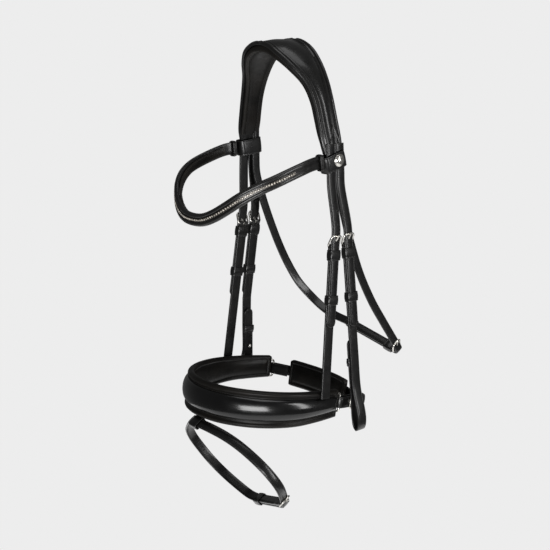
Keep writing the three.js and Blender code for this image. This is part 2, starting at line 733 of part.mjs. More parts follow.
function addThroatlatch() {
  const bar = point(...THROAT_BAR);
  const group = strapFrame(bar, bar.clone().add(point(...THROAT_RUN)), point(...THROAT_OUT));
  const local = (route) => route.map((p) => inFrame(group, point(...p)));
  const near = local(THROAT_NEAR_ROUTE);
  const turn = turnFrom(near.at(-1));
  const off = [point(0, 0, 1 - THROAT_LENGTH), ...local(THROAT_OFF_ROUTE)];
  buckledPair(group, "throatlatch", { strap: "throatlatch_strap", billet: "throatlatch_billet" }, {
    width: THROAT_WIDTH,
    length: THROAT_LENGTH,
    tail: sweep(off, flat(THROAT_WIDTH, STRAP_THICK), ACROSS, 2),
    billet: sweep([...near, ...wrapOver(turn, -88)], flat(THROAT_WIDTH, BILLET_THICK), ACROSS, 3),
    keeper: FIXED_KEEPER,
    runner: { z: -75, height: 7 },
    turn,
  });
}

const FLASH_CENTRE = point(0, -84, -514);
const FLASH_DOWN = point(0, 0.53, -0.85).normalize(); // down the loop, away from its tab
const FLASH_BACK = point(0, 0.85, 0.53).normalize(); // square to the loop, towards the jaw
const FLASH_BAR = [76, 70, 0];
const FLASH_FOOT = [-4, 103.5, 0];
const FLASH_LENGTH = 87;
const FLASH_WIDTH = 13;
const FLASH_TOP = [0, -66, -12];
const FLASH_TAB_HEIGHT = 14;
/** The loop as [across the face, down, back], from the foot of the buckled run. */
const FLASH_PLAN = [
  [-20, 104.5, 0],
  [-41, 95, 0],
  [-62, 79, 0],
  [-77, 58, 0],
  [-84, 35, 0],
  [-86, 13, 0],
  [-79, -7, 0],
  [-61, -26, -1],
  [-36, -47, -4],
  [-19, -60, -9],
  [-7, -65.6, -11.8],
  FLASH_TOP,
  [7, -65.6, -11.8],
  [19, -60, -9],
  [36, -47, -4],
  [52, -33, -1],
  [69, -17, 0],
  [84, 1, 0],
  [91, 20, 0],
  [91.5, 36, 0],
];

function addFlash() {
  const at = ([x, down, back]) =>
    point(x, 0, 0).add(FLASH_CENTRE).addScaledVector(FLASH_DOWN, down).addScaledVector(FLASH_BACK, back);
  const bar = at(FLASH_BAR);
  const foot = at(FLASH_FOOT);
  const outward = bar.clone().sub(FLASH_CENTRE);
  const group = strapFrame(bar, foot, outward.addScaledVector(bar.clone().sub(foot), -1));
  const loop = FLASH_PLAN.map((p) => inFrame(group, at(p)));
  const turn = turnFrom(loop.at(-1));
  const route = [point(0, 0, 1 - FLASH_LENGTH), ...loop, ...wrapOver(turn, -88)];
  const tail = cut(sweep(route, flat(FLASH_WIDTH, BILLET_THICK), ACROSS, 2), turned(tongueSweep(), turn));
  addMesh(group, "flash_strap", join(foldedEnd(FLASH_WIDTH, FLASH_LENGTH), tail), LEATHER);
  addMesh(group, "flash_buckle_frame", turned(buckleFrame(FLASH_WIDTH), turn), CHROME);
  addMesh(group, "flash_buckle_tongue", turned(buckleTongue(), turn), CHROME);
  addMesh(group, "flash_keeper", loopAt(FLASH_WIDTH / 2 + GAP, { z: -76, height: 16 }), LEATHER);

  const top = at(FLASH_TOP);
  const tab = strapFrame(top, top.clone().sub(point(1, 0, 0)), FLASH_DOWN.clone().negate());
  const half = BILLET_THICK / 2 + GAP;
  addMesh(tab, "flash_tab", band(-half - 2, half + 0.4, FLASH_WIDTH / 2 + 2 * GAP, FLASH_TAB_HEIGHT, 1.6), LEATHER);
}

addCrown();
addBrowband();
addStud();
for (const name of ["near", "off"]) {
  addCheekpiece(name, CHEEKS[name]);
  addHanger(name, HANGERS[name]);
}
addNoseband();
addChinStrap();
addThroatlatch();
addFlash();

export default bridle;
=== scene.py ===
"""The looks of a snaffle bridle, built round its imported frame. Lengths are millimetres until a mesh is made.
+Z is up, +X is the horse's left (near) side, and the face looks along -Y."""

import math

import bmesh
import bpy
import numpy as np
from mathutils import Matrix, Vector


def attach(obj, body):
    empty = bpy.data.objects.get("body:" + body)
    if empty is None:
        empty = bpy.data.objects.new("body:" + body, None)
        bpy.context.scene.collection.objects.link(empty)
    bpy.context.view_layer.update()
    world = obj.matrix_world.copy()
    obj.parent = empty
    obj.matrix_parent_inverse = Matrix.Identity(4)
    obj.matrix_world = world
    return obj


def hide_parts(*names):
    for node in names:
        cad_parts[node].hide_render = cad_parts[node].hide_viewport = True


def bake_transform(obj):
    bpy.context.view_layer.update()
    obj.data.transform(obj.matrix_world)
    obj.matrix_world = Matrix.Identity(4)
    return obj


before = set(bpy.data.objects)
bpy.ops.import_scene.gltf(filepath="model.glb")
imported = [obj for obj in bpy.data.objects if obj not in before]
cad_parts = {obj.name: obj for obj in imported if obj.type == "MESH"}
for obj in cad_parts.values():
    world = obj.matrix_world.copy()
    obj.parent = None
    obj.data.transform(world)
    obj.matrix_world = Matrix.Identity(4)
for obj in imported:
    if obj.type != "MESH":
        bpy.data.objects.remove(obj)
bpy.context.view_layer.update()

MM = 0.001
UP = np.array([0.0, 0.0, 1.0])
BACK = np.array([0.0, 1.0, 0.0])

# ---- sizes shared with the CAD ----

GAP = 0.3
STRAP_WIDTH = 14
STRAP_THICK = 3
BILLET_THICK = 2.4
BAND_WALL = 1.2
WIRE = 1.1
BAR_INSET = 0.6
FOLD_WALL = 1.2
FRAME_RISE = 13
FOLD_RADIUS = WIRE + GAP + FOLD_WALL
BILLET_X = FOLD_RADIUS - BAR_INSET + GAP + BILLET_THICK / 2
CROSSBAR_X = BILLET_X + BILLET_THICK / 2 + GAP + WIRE
FRAME_LEAN = math.atan2(CROSSBAR_X + BAR_INSET, FRAME_RISE)
FRAME_LENGTH = math.hypot(CROSSBAR_X + BAR_INSET, FRAME_RISE)
BAND_LOW = -STRAP_THICK / 2 - GAP
BAND_HIGH = BILLET_X + BILLET_THICK / 2 + GAP + 0.4  # room for a billet's raised middle and holes


# ---- lines and frames ----


def vec(*p):
    return np.array(p, float)


def unit(v):
    return v / np.linalg.norm(v)


def smooth_line(points, per_span=24):
    """A centripetal Catmull-Rom line through the points, as the CAD draws it."""
    p = [np.array(q, float) for q in points]
    p = [2 * p[0] - p[1]] + p + [2 * p[-1] - p[-2]]
    out = []
    for i in range(1, len(p) - 2):
        d0, d1, d2 = (max(np.linalg.norm(p[i + k] - p[i + k - 1]) ** 0.5, 1e-4) for k in (0, 1, 2))
        t1 = ((p[i] - p[i - 1]) / d0 - (p[i + 1] - p[i - 1]) / (d0 + d1) + (p[i + 1] - p[i]) / d1) * d1
        t2 = ((p[i + 1] - p[i]) / d1 - (p[i + 2] - p[i]) / (d1 + d2) + (p[i + 2] - p[i + 1]) / d2) * d1
        for t in np.arange(per_span) / per_span:
            a = -3 * p[i] + 3 * p[i + 1] - 2 * t1 - t2
            b = 2 * p[i] - 2 * p[i + 1] + t1 + t2
            out.append(p[i] + t1 * t + a * t * t + b * t**3)
    return np.array(out + [p[-2]])


def lengths_of(line):
    return np.concatenate([[0], np.cumsum(np.linalg.norm(np.diff(line, axis=0), axis=1))])


def at_lengths(line, distances):
    """Points of a line at distances along it; columns past the third ride along."""
    s = lengths_of(line[:, :3])
    return np.stack([np.interp(distances, s, line[:, k]) for k in range(line.shape[1])], 1)


class Frame:
    """A strap's own axes: z up to its heel bar, x away from the horse, y across."""

    def __init__(self, bar, foot, outward):
        bar, foot, outward = vec(*bar), vec(*foot), vec(*outward)
        z = unit(bar - foot)
        x = unit(outward - z * outward.dot(z))
        self.origin = bar
        self.axes = np.stack([x, np.cross(z, x), z])

    def out(self, p):
        return self.origin + np.array(p, float) @ self.axes

    def into(self, p):
        return (np.array(p, float) - self.origin) @ self.axes.T

    @property
    def across(self):
        return self.axes[1]


# ---- meshes ----


class Shape:
    """Collects surfaces, each with the number of its material."""

    def __init__(self):
        self.verts = []
        self.faces = []
        self.looks = []

    def add(self, verts, faces, look=0):
        start = len(self.verts)
        self.verts.extend(np.asarray(verts).tolist())
        self.faces.extend([start + i for i in f] for f in faces)
        self.looks.extend([look] * len(faces))
        return self

    def make(self, name, *materials, sharp=45):
        mesh = bpy.data.meshes.new(name)
        mesh.from_pydata((np.array(self.verts) * MM).tolist(), [], self.faces)
        for material in materials:
            mesh.materials.append(material)
        mesh.polygons.foreach_set("material_index", self.looks)
        mesh.polygons.foreach_set("use_smooth", [True] * len(mesh.polygons))
        mesh.validate()
        mesh.set_sharp_from_angle(angle=math.radians(sharp))
        piece = bpy.data.objects.new(name, mesh)
        bpy.context.scene.collection.objects.link(piece)
        return piece


def skin(rings, closes=False):
    """Vertices and faces of a tube of rings, capped at both ends unless it closes on itself."""
    count, sides = rings.shape[:2]
    faces = []
    for i in range(count if closes else count - 1):
        here, there = i * sides, (i + 1) % count * sides
        for j in range(sides):
            k = (j + 1) % sides
            faces.append((here + j, here + k, there + k, there + j))
    if not closes:
        faces.append(tuple(range(sides))[::-1])
        faces.append(tuple(range((count - 1) * sides, count * sides)))
    verts = rings.reshape(-1, 3)
    if volume_of(verts, faces) < 0:
        faces = [f[::-1] for f in faces]
    return verts, faces


def volume_of(verts, faces):
    total = 0.0
    for f in faces:
        a = verts[f[0]]
        for j in range(1, len(f) - 1):
            total += a.dot(np.cross(verts[f[j]], verts[f[j + 1]]))
    return total


class Path:
    """A smooth line with the strap's across and outward directions at any distance along it."""

    def __init__(self, points, across):
        self.line = smooth_line(points)
        self.length = lengths_of(self.line)[-1]
        self.across = across

    def at(self, distances):
        d = np.asarray(distances, float)
        eps = 0.15
        mid = at_lengths(self.line, d)
        ahead, behind = np.minimum(d + eps, self.length), np.maximum(d - eps, 0)
        along = at_lengths(self.line, ahead) - at_lengths(self.line, behind)
        along /= np.linalg.norm(along, axis=1, keepdims=True)
        across = self.across(d / self.length) if callable(self.across) else np.tile(self.across, (len(d), 1))
        wide = across - along * np.sum(across * along, axis=1, keepdims=True)
        wide /= np.linalg.norm(wide, axis=1, keepdims=True)
        return mid, wide, np.cross(along, wide), along

    def place(self, distances, sections):
        """Rings of [across, outward] sections at distances along the line."""
        mid, wide, out, _ = self.at(distances)
        return mid[:, None] + sections[:, :, :1] * wide[:, None] + sections[:, :, 1:] * out[:, None]


def stations(length, step, tip=0.0):
    """Distances along a strap, closer together in a rounded tip, and the width left at each."""
    body = np.linspace(0, length - tip, max(3, int((length - tip) / step) + 1))
    width = np.ones(len(body))
    if tip:
        turn = np.radians(np.linspace(0, 84, 9)[1:])
        body = np.concatenate([body, length - tip + tip * np.sin(turn)])
        width = np.concatenate([width, np.cos(turn) ** 0.8])
    return body, width


def leather_section(width, thick, crown=0.35, crease=0.22):
    """A strap's section: rounded edges, a crease inside each edge and a slightly raised middle."""
    half, h = width / 2, thick / 2
    r = min(0.4 * thick, 0.9)
    arc = np.radians([0, 30, 60, 90])

    def corner(cx, cy, start):
        return [(cx + r * math.cos(start + a), cy + r * math.sin(start + a)) for a in arc]

    line = half - 1.7
    edge = [(line + 0.55, h + 0.05), (line, h - crease), (line - 0.6, h)]
    face = edge + [(half * 0.45, h + crown * 0.75), (0, h + crown)]
    top = face + [(-x, y) for x, y in face[-2::-1]]
    bottom = [(-half * 0.4, -h), (half * 0.4, -h)]
    points = corner(half - r, h - r, 0) + top + corner(r - half, h - r, math.pi / 2)
    points += corner(r - half, r - h, math.pi) + bottom + corner(half - r, r - h, 1.5 * math.pi)
    return np.array(points)


def ribbon(shape, path, section, step=2.2, tip=0.0, scale=None, look=0):
    """A strap along a path. `scale(distance)` gives [width, thickness] factors."""
    d, width = stations(path.length, step, tip)
    sections = np.repeat(section[None], len(d), 0).copy()
    sections[:, :, 0] *= width[:, None]
    if tip:
        sections[:, :, 1] *= (0.55 + 0.45 * width)[:, None]
    if scale:
        factors = np.array([scale(x) for x in d])
        sections[:, :, 0] *= factors[:, :1]
        sections[:, :, 1] *= factors[:, 1:]
    return shape.add(*skin(path.place(d, sections)), look)


STITCH_RINGS = [(-1.15, 0.1), (-0.75, 0.27), (0.75, 0.27), (1.15, 0.1)]
STITCH_SIDES = 6
STITCH_PITCH = 3.1
THREAD_LOOK = 1  # the thread is the second material of every stitched piece


def stitch_line(shape, path, across, outward, start=0.0, end=0.0):
    """A row of raised stitches along a path, at fixed places across and outward."""
    count = max(1, int((path.length - start - end) / STITCH_PITCH))
    mid, wide, out, along = path.at(start + (np.arange(count) + 0.5) * STITCH_PITCH)
    turn = np.arange(STITCH_SIDES) * 2 * math.pi / STITCH_SIDES
    for i in range(count):
        centre = mid[i] + wide[i] * across + out[i] * outward
        rings = [
            [centre + along[i] * s + (wide[i] * math.cos(a) + out[i] * 0.8 * math.sin(a)) * r for a in turn]
            for s, r in STITCH_RINGS
        ]
        shape.add(*skin(np.array(rings)), THREAD_LOOK)


def lathe(shape, profile, centre, axis, sides=32, look=0):
    """A round piece: [radius, height] points turned about an axis."""
    axis = unit(vec(*axis))
    side = unit(np.cross(axis, [0.3, 0.5, 0.8]))
    other = np.cross(axis, side)
    turn = np.arange(sides) * 2 * math.pi / sides
    rings = [
        [vec(*centre) + axis * h + (side * math.cos(a) + other * math.sin(a)) * max(r, 0.02) for a in turn]
        for r, h in profile
    ]
    return shape.add(*skin(np.array(rings)), look)


CORNER_POINTS = 7
WIRE_SIDES = 14


def closed_loop(shape, points, normal, section):
    """A section of [along the normal, away from the middle] points swept round a flat closed loop."""
    points = np.array(points, float)
    normal = unit(vec(*normal))
    ahead = np.roll(points, -1, 0) - np.roll(points, 1, 0)
    away = np.cross(ahead / np.linalg.norm(ahead, axis=1, keepdims=True), normal)
    if np.sum((points - points.mean(0)) * away) < 0:
        away = -away
    rings = points[:, None] + section[None, :, :1] * normal + section[None, :, 1:] * away[:, None]
    return shape.add(*skin(rings, closes=True))


def rounded_loop(half_width, low, high, corner):
    """[across, along] points of a rectangle with round corners."""
    out = []
    for y, s, start in (
        (half_width - corner, high - corner, 0),
        (corner - half_width, high - corner, 90),
        (corner - half_width, low + corner, 180),
        (half_width - corner, low + corner, 270),
    ):
        for a in np.radians(start + np.linspace(0, 90, CORNER_POINTS)):
            out.append((y + corner * math.cos(a), s + corner * math.sin(a)))
    return out


def round_section(radius):
    turn = np.arange(WIRE_SIDES) * 2 * math.pi / WIRE_SIDES
    return np.stack([radius * np.cos(turn), radius * np.sin(turn)], 1)


# ---- filling ----

PUFF_FRAMES = 20
PUFF_PRESSURE = 4
PAD_SWELL = 1.2  # the farthest that its filling pushes a pad's skin out


def puffed(verts, faces, held, cap):
    """A pad's skin, swelled by its filling as cloth under pressure.

    Held points stay, and none moves past the cap.
    """
    mesh = bpy.data.meshes.new("filling")
    mesh.from_pydata((verts * MM).tolist(), [], faces)
    piece = bpy.data.objects.new("filling", mesh)
    scene = bpy.context.scene
    scene.collection.objects.link(piece)
    group = piece.vertex_groups.new(name="seams")
    group.add(np.flatnonzero(held).tolist(), 1.0, "REPLACE")
    cloth = piece.modifiers.new("cloth", "CLOTH")
    cloth.settings.use_pressure = True
    cloth.settings.uniform_pressure_force = PUFF_PRESSURE
    cloth.settings.vertex_group_mass = group.name
    cloth.settings.effector_weights.gravity = 0
    for number in range(1, PUFF_FRAMES + 1):
        scene.frame_set(number)
    swelled = piece.evaluated_get(bpy.context.evaluated_depsgraph_get()).data
    places = np.empty(len(verts) * 3)
    swelled.vertices.foreach_get("co", places)
    scene.frame_set(1)
    bpy.data.objects.remove(piece)
    bpy.data.meshes.remove(mesh)
    shift = places.reshape(-1, 3) / MM - verts
    size = np.maximum(np.linalg.norm(shift, axis=1, keepdims=True), 1e-6)
    return verts + shift * np.tanh(size / cap) * cap / size


def padded_skin(shape, rings, seams, cap):
    """A lofted pad held along some of its columns and at both ends, and swelled between them."""
    held = np.zeros(rings.shape[:2], bool)
    held[:, seams] = True
    held[[0, -1]] = True
    verts, faces = skin(rings)
    return shape.add(puffed(verts, faces, held.reshape(-1), cap), faces)


# ---- materials ----


class Nodes:
    """Short names for building a material's node tree."""

    def __init__(self, name, colour, rough, metal=0.0):
        self.material = bpy.data.materials.new(name)
        self.material.use_nodes = True
        self.tree = self.material.node_tree
        self.shader = self.tree.nodes["Principled BSDF"]
        self.shader.inputs["Base Color"].default_value = (*colour, 1)
        self.shader.inputs["Roughness"].default_value = rough
        self.shader.inputs["Metallic"].default_value = metal
        self.coords = self.tree.nodes.new("ShaderNodeTexCoord").outputs["Object"]

    def set(self, **values):
        for name, value in values.items():
            self.shader.inputs[name.replace("_", " ")].default_value = value

    def link(self, output, socket):
        self.tree.links.new(output, self.shader.inputs[socket])

    def noise(self, scale, detail=3, stretch=(1, 1, 1)):
        node = self.tree.nodes.new("ShaderNodeTexNoise")
        node.inputs["Scale"].default_value = scale
        node.inputs["Detail"].default_value = detail
        mapping = self.tree.nodes.new("ShaderNodeMapping")
        mapping.inputs["Scale"].default_value = stretch
        self.tree.links.new(self.coords, mapping.inputs["Vector"])
        self.tree.links.new(mapping.outputs["Vector"], node.inputs["Vector"])
        return node.outputs["Fac"]

    def cells(self, scale):
        node = self.tree.nodes.new("ShaderNodeTexVoronoi")
        node.feature = "DISTANCE_TO_EDGE"
        node.inputs["Scale"].default_value = scale
        self.tree.links.new(self.coords, node.inputs["Vector"])
        return node.outputs["Distance"]

    def spread(self, value, low, high, to_low, to_high):
        """Maps a value's range low..high to to_low..to_high."""
        node = self.tree.nodes.new("ShaderNodeMapRange")
        for name, number in zip(("From Min", "From Max", "To Min", "To Max"), (low, high, to_low, to_high)):
            node.inputs[name].default_value = number
        self.tree.links.new(value, node.inputs["Value"])
        return node.outputs["Result"]

    def mix(self, factor, a, b):
        """Mixes two colours, each a tuple or a socket."""
        node = self.tree.nodes.new("ShaderNodeMix")
        node.data_type = "RGBA"
        self.tree.links.new(factor, node.inputs["Factor"])
        for socket, value in ((node.inputs[6], a), (node.inputs[7], b)):
            if isinstance(value, tuple):
                socket.default_value = (*value, 1)
            else:
                self.tree.links.new(value, socket)
        return node.outputs[2]

    def edge(self):
        node = self.tree.nodes.new("ShaderNodeNewGeometry")
        return self.spread(node.outputs["Pointiness"], 0.52, 0.6, 0, 1)

    def bump(self, heights):
        """Adds [height socket, distance in metres, strength] layers of bump."""
        normal = None
        for height, distance, strength in heights:
            node = self.tree.nodes.new("ShaderNodeBump")
            node.inputs["Strength"].default_value = strength
            node.inputs["Distance"].default_value = distance
            self.tree.links.new(height, node.inputs["Height"])
            if normal:
                self.tree.links.new(normal, node.inputs["Normal"])
            normal = node.outputs["Normal"]
        self.link(normal, "Normal")


def leather(name, dark, light, rough, grain, shine=0.3, coat=0.0, coat_rough=0.3, coat_ior=1.4):
    """Leather with blotches of tone, worn edges, pores and fine wrinkles."""
    n = Nodes(name, dark, rough)
    tone = n.spread(n.noise(38, 4), 0.35, 0.7, 0, 1)
    body = n.mix(tone, dark, light)
    worn = tuple(2.2 * c + 0.006 for c in light)
    n.link(n.mix(n.edge(), body, worn), "Base Color")
    n.link(n.spread(n.noise(120, 3), 0.3, 0.75, rough - 0.07, rough + 0.1), "Roughness")
    pores = n.spread(n.cells(1500), 0, 0.35, 0, 1)
    wrinkles = n.noise(420, 5, (1, 1, 0.5))
    n.bump([(wrinkles, 0.0004, 0.13 * grain), (pores, 0.0001, 0.3 * grain), (n.noise(60, 2), 0.0005, 0.12)])
    n.set(Coat_Weight=coat, Coat_Roughness=coat_rough, Coat_IOR=coat_ior, Specular_IOR_Level=shine)
    return n.material


def metal(name, colour, rough):
    n = Nodes(name, colour, rough, 1.0)
    tone = n.spread(n.noise(90, 3), 0.35, 0.7, 0, 1)
    n.link(n.mix(tone, colour, tuple(0.86 * c for c in colour)), "Base Color")
    n.link(n.spread(n.noise(260, 4), 0.3, 0.8, rough * 0.6, rough * 1.8), "Roughness")
    n.bump([(n.noise(500, 4), 0.00006, 0.15)])
    return n.material


def crystal(name):
    n = Nodes(name, (0.5, 0.46, 0.4), 0.2)
    n.set(IOR=1.6, Coat_Weight=0.3, Coat_Roughness=0.1)
    # painted glints: the stones' base colour is pale and lighter in noise spots, standing for the light their
    # cut facets catch
    painted_glint = n.spread(n.noise(420, 2), 0.42, 0.62, 0, 1)
    n.link(n.mix(painted_glint, (0.28, 0.26, 0.22), (0.8, 0.74, 0.65)), "Base Color")
    n.link(n.spread(n.noise(900, 2), 0.3, 0.8, 0.15, 0.35), "Roughness")
    return n.material


STRAP = leather("strap_leather", (0.003, 0.003, 0.0031), (0.0065, 0.0063, 0.006), 0.34, 0.35,
                shine=0.28, coat=0.7, coat_rough=0.17)
PAD = leather("pad_leather", (0.004, 0.0038, 0.0035), (0.010, 0.0088, 0.0074), 0.4, 0.6,
              shine=0.13, coat=0.15, coat_rough=0.25)
PATENT = leather("patent_leather", (0.0016, 0.0016, 0.0017), (0.003, 0.003, 0.0031), 0.3, 0.1,
                 shine=0.1, coat=1.0, coat_rough=0.16, coat_ior=1.5)
THREAD = leather("waxed_thread", (0.005, 0.0048, 0.0046), (0.010, 0.0096, 0.009), 0.55, 0.4, shine=0.2)
# painted shade: a near-black material for the disc that stands for the shade inside each punched hole
HOLE_SHADE = leather("painted_hole_shade", (0.001, 0.001, 0.001), (0.002, 0.0018, 0.0016), 0.8, 0.5, shine=0.05)
CHROME = metal("chrome", (0.8, 0.78, 0.73), 0.22)
SETTING = metal("stone_setting", (0.16, 0.15, 0.14), 0.35)
CRYSTAL = crystal("cut_crystal")


def settle(piece, body, slot, *nodes):
    """A finished piece rides on its body and stands for its CAD nodes."""
    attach(piece, body)
    return stands(piece, slot, *nodes)


def stands(piece, slot, *nodes):
    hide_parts(*nodes)
    return piece


def bend(piece, body, slot, *nodes):
    """A strap that hangs from the crown's end, with its placement baked into its mesh; it stands for its CAD
    nodes.
    """
    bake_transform(piece)
    return stands(piece, slot, *nodes)


# ---- camera, light and floor ----

FLOOR_Z = -1.9
FLOOR_REACH = 2.2
ROOM_LIGHT = 0.11  # brightness of the room that the leather reflects
BACKGROUND = 0.847
FLOOR_SHADE = 0.45


def aim(thing, target):
    direction = Vector(target) - thing.location
    thing.rotation_euler = direction.to_track_quat("-Z", "Y").to_euler()


def add_camera():
    data = bpy.data.cameras.new("camera")
    data.lens = 70.9
    data.sensor_width = 36
    camera = bpy.data.objects.new("camera", data)
    camera.location = (1.0783, -0.8732, 0.0559)
    bpy.context.scene.collection.objects.link(camera)
    aim(camera, (0, 0, -0.29))
    bpy.context.scene.camera = camera


def add_light(name, place, target, size, power):
    data = bpy.data.lights.new(name, "AREA")
    data.shape = "RECTANGLE"
    data.size, data.size_y = size
    data.energy = power
    light = bpy.data.objects.new(name, data)
    light.location = place
    bpy.context.scene.collection.objects.link(light)
    aim(light, target)


def add_studio():
    world = bpy.data.worlds.new("studio")
    bpy.context.scene.world = world
    world.use_nodes = True
    tree = world.node_tree
    sky = tree.nodes["Background"]
    sky.inputs["Color"].default_value = (1, 1, 1, 1)
    seen = tree.nodes.new("ShaderNodeLightPath").outputs["Is Camera Ray"]
    level = tree.nodes.new("ShaderNodeMapRange")
    level.inputs["To Min"].default_value = ROOM_LIGHT
    level.inputs["To Max"].default_value = BACKGROUND
    tree.links.new(seen, level.inputs["Value"])
    tree.links.new(level.outputs["Result"], sky.inputs["Strength"])
    bpy.context.scene.view_settings.view_transform = "Standard"
    add_light("key", (1.95, -1.4, -0.45), (0, -0.05, -0.38), (1.35, 0.9), 40)
    add_light("top", (0.45, 0.1, 1.4), (0, 0, 0), (1.1, 1.2), 7)
    add_light("near_side", (2.1, 0.85, 0.2), (0.05, 0, -0.27), (0.45, 1.6), 17)
    floor = bpy.data.meshes.new("floor")
    turn = np.radians(np.arange(0, 360, 5))
    rim = [(FLOOR_REACH * math.cos(a), FLOOR_REACH * math.sin(a), FLOOR_Z) for a in turn]
    floor.from_pydata(rim, [], [tuple(range(len(rim)))])
    piece = bpy.data.objects.new("floor", floor)
    bpy.context.scene.collection.objects.link(piece)
    n = Nodes("pale_floor", (FLOOR_SHADE, FLOOR_SHADE, FLOOR_SHADE), 0.9)
    glow = BACKGROUND - FLOOR_SHADE * ROOM_LIGHT - 0.02
    n.set(Specular_IOR_Level=0.0, Emission_Color=(1, 1, 1, 1), Emission_Strength=glow)
    floor.materials.append(n.material)


add_camera()
add_studio()

# ---- buckles ----

HEEL_CORNER = 2.4
TOP_CORNER = 4.6


def buckle_outline(half, length):
    """A buckle's horseshoe outline: tight corners at the heel bar and round ones at the crossbar."""
    low = [(y, s) for y, s in rounded_loop(half, 0, length, HEEL_CORNER) if s < length / 2]
    high = [(y, s) for y, s in rounded_loop(half, 0, length, TOP_CORNER) if s > length / 2]
    return high + low


def buckle(name, body, at, width, turn=0.0):
    """The wire frame of a buckle, turned about its heel bar towards its billet."""
    shape = Shape()
    tilt = FRAME_LEAN - turn
    lean = vec(math.sin(tilt), 0, math.cos(tilt))
    bar = vec(-BAR_INSET, 0, 0)
    half = width / 2 + GAP + WIRE
    loop = [at.out(bar + BACK * y + lean * s) for y, s in buckle_outline(half, FRAME_LENGTH)]
    normal = np.cross(lean, BACK) @ at.axes
    closed_loop(shape, loop, normal, round_section(WIRE + GAP / 2))
    settle(shape.make(f"{name}_buckle", CHROME), body, "chrome", f"{name}_buckle_frame")


def softened(node, name, material, body, slot, width):
    """A copy of a CAD node with its flat faces merged and its edges rounded."""
    mesh = bmesh.new()
    mesh.from_mesh(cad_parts[node].data)
    bmesh.ops.remove_doubles(mesh, verts=mesh.verts, dist=1e-6)
    bmesh.ops.dissolve_limit(mesh, angle_limit=math.radians(2), verts=mesh.verts, edges=mesh.edges)
    data = bpy.data.meshes.new(name)
    mesh.to_mesh(data)
    mesh.free()
    piece = bpy.data.objects.new(name, data)
    bpy.context.scene.collection.objects.link(piece)
    modifier = piece.modifiers.new("edges", "BEVEL")
    modifier.width = width * MM
    modifier.segments = 3
    modifier.limit_method = "ANGLE"
    modifier.angle_limit = math.radians(30)
    bake_modifiers(piece)
    piece.data.materials.clear()
    piece.data.materials.append(material)
    piece.data.polygons.foreach_set("use_smooth", [True] * len(piece.data.polygons))
    piece.data.set_sharp_from_angle(angle=math.radians(50))
    return settle(piece, body, slot, node)


def bake_modifiers(piece):
    graph = bpy.context.evaluated_depsgraph_get()
    done = bpy.data.meshes.new_from_object(piece.evaluated_get(graph))
    piece.modifiers.clear()
    piece.data = done


def keeper(name, body, at, z, height, half, low=BAND_LOW, high=BAND_HIGH, shift=0.0, wall=BAND_WALL,
           node=None, corner=1.8):
    """A leather band round a strap, in the strap's own axes."""
    shape = Shape()
    middle = (low + high) / 2
    loop = rounded_loop(half + wall / 2, low - wall / 2 - middle, high + wall / 2 - middle, corner)
    points = [at.out([middle + s, y + shift, z]) for y, s in loop]
    section = leather_section(height, wall, crown=0.35, crease=0.1)
    closed_loop(shape, points, at.axes[2], section)
    return settle(shape.make(name, STRAP, sharp=50), body, "strap_leather", node or name)


def folded_run(shape, at, width, length):
    """A strap's straight run up to its heel bar, folded round it and down behind."""
    foot = [[0, 0, -length], [0, 0, -length * 0.66], [0, 0, -length * 0.33], [0, 0, -3.2]]
    run = Path(at.out(foot), at.across)
    ribbon(shape, run, leather_section(width, STRAP_THICK))
    radius = WIRE + GAP + FOLD_WALL / 2
    angles = np.radians(range(-40, 221, 20))
    turn = [at.out([-BAR_INSET + radius * math.cos(a), 0, radius * math.sin(a)]) for a in angles]
    ends = [at.out([0.75, 0, -4.5])], [at.out([-1.5, 0, -5]), at.out([-1.9, 0, -12]), at.out([-1.9, 0, -19])]
    fold = Path(ends[0] + turn + ends[1], at.across)
    slit = 1.5
    half = (width / 2 - slit) / 2
    for side in (1, -1):
        moved = Path(fold.line[::6] + at.across * side * (slit + half), at.across)
        ribbon(shape, moved, leather_section(2 * half, FOLD_WALL, crown=0, crease=0.05), step=1.2)
    return run


def strap_stitches(shape, path, width, thick, start=2.0, end=2.0):
    for side in (1, -1):
        stitch_line(shape, path, side * (width / 2 - 1.6), thick / 2 + 0.02, start, end)


def tongue(name):
    softened(f"{name}_buckle_tongue", f"{name}_tongue", CHROME, f"{name}_tongue", "chrome", 0.35)


RUNNER_Z, RUNNER_HEIGHT = -69, 12
FIXED_KEEPER_Z, FIXED_KEEPER_HEIGHT = -11.5, 13


def hang_x(z):
    return 81.5 - 0.05 * z


def billet(name, body, at, side, top_y, crown_y, tip, width, node):
    """A crown strap that comes out of the browband loop and runs down through its buckle."""
    shape = Shape()
    start = [[side * hang_x(z), crown_y(z), z] for z in (-110, -128, -145)]
    points = [at.into(p) for p in start] + [at.into([side * hang_x(-163), top_y, -163])]
    points = [at.out(p) for p in points + [[BILLET_X, 0, z] for z in (22, 0, tip)]]
    route = Path(np.array(points), lambda t: turned(t, BACK, at.across))
    section = leather_section(width, BILLET_THICK)
    ribbon(shape, route, section, tip=7)
    strap_stitches(shape, route, width, BILLET_THICK, 30, 9)
    punched(shape, at, tip)
    piece = shape.make(name, STRAP, THREAD, HOLE_SHADE)
    return bend(piece, body, "strap_leather", node)


def turned(t, first, last):
    """The across direction from a strap's top to its buckle."""
    w = np.clip(np.asarray(t) * 2.2, 0, 1)[:, None]
    return first * (1 - w) * np.sign(last.dot(first)) + last * w


HOLES = (28, 44, -20, -38, -56, -84)  # heights from the heel bar
HOLE_RIM = [(1.9, 0.12), (1.6, 0.32), (1.2, 0.28), (1.05, 0.14)]
# the disc painted near-black in each hole, standing for the shade inside it
HOLE_SHADE_DISC = [(1.1, 0.0), (1.08, 0.2), (0.0, 0.16)]
HOLE_SHADE_LOOK = 2


